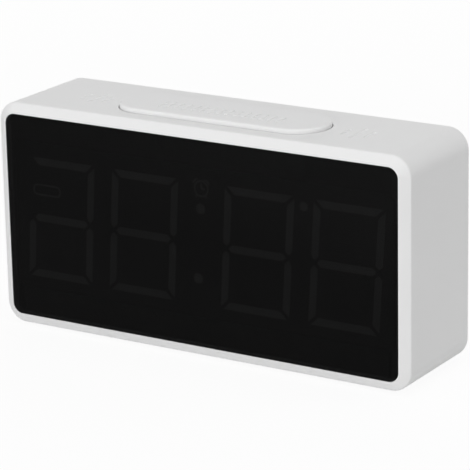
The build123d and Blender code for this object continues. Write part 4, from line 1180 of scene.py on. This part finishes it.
def add_world(stage):
    """Even light all round, which shows as plain white."""
    world = bpy.data.worlds.new("studio_surround")
    nodes = Nodes(world)
    dimmed = (1 - stage.ambient) * (1 - seen_directly(nodes))
    sockets = {"Color": (1.0, 1.0, 1.0, 1.0), "Strength": 1 - dimmed}
    surround = nodes.add("Background", sockets)
    nodes.add("OutputWorld", {"Surface": surround})
    bpy.context.scene.world = world


def add_camera(stage):
    """Stand the camera at the photograph's viewing angle."""
    turns = ((stage.yaw, "Z"), (pi / 2 - stage.pitch, "X"), (stage.roll, "Z"))
    yaw, pitch, roll = [Matrix.Rotation(turn, 4, axis) for turn, axis in turns]
    matrix = yaw @ pitch @ roll
    matrix.translation = stage.target + stage.distance * matrix.col[2].xyz
    lens = bpy.data.cameras.new("photo_camera")
    lens.lens = stage.focal
    camera = new_object("photo_camera", lens)
    camera.matrix_world = matrix
    bpy.context.scene.camera = camera


class CLOCK_OT_stage(bpy.types.Operator):
    """Set up the floor, the light and the camera"""

    bl_idname = "clock.stage"
    bl_label = "Stage"

    def execute(self, context):
        stage = context.scene.clock_stage
        context.scene.view_settings.view_transform = "Standard"
        add_floor(stage)
        add_world(stage)
        aim = (CAD_BOX[0] + CAD_BOX[1]) / 2
        for name, place, width, height, shows in SOFTBOXES:
            watts = getattr(stage, f"{name}_power")
            add_softbox(f"{name}_softbox", place, aim, width, height, watts, shows)
        add_camera(stage)
        return {"FINISHED"}


OPERATORS = (
    CLOCK_OT_shell, CLOCK_OT_snooze_grip, CLOCK_OT_groove_beds, CLOCK_OT_lens, CLOCK_OT_lens_mask,
    CLOCK_OT_display, CLOCK_OT_display_symbols, CLOCK_OT_boards, CLOCK_OT_metalwork, CLOCK_OT_springs,
    CLOCK_OT_wiring, CLOCK_OT_cells, CLOCK_OT_back, CLOCK_OT_door_ridges, CLOCK_OT_controls,
    CLOCK_OT_feet, CLOCK_OT_stage,
)
SETTINGS = {"clock_sizes": ClockSizes, "clock_colours": ClockColours, "clock_stage": ClockStage}


class CLOCK_PT_panel(bpy.types.Panel):
    """Settings of the clock, and the steps that dress it in order"""

    bl_idname = "CLOCK_PT_panel"
    bl_label = "Mirror Alarm Clock"
    bl_space_type = "VIEW_3D"
    bl_region_type = "UI"
    bl_category = "Clock"

    def draw(self, context):
        for operator in OPERATORS:
            self.layout.operator(operator.bl_idname)
        for name, group in SETTINGS.items():
            column = self.layout.box().column()
            for setting in group.__annotations__:
                column.prop(getattr(context.scene, name), setting)


CLASSES = (*SETTINGS.values(), *OPERATORS, CLOCK_PT_panel)


def register():
    """Register the classes and give the scene its settings."""
    for item in CLASSES:
        bpy.utils.register_class(item)
    for name, group in SETTINGS.items():
        setattr(bpy.types.Scene, name, PointerProperty(type=group))


def unregister():
    """Take the settings and the classes away again."""
    for name in SETTINGS:
        delattr(bpy.types.Scene, name)
    for item in reversed(CLASSES):
        bpy.utils.unregister_class(item)


def main():
    """Dress the clock piece by piece."""
    register()
    for operator in OPERATORS:
        family, step = operator.bl_idname.split(".")
        getattr(getattr(bpy.ops, family), step)()


if __name__ == "__main__":
    main()
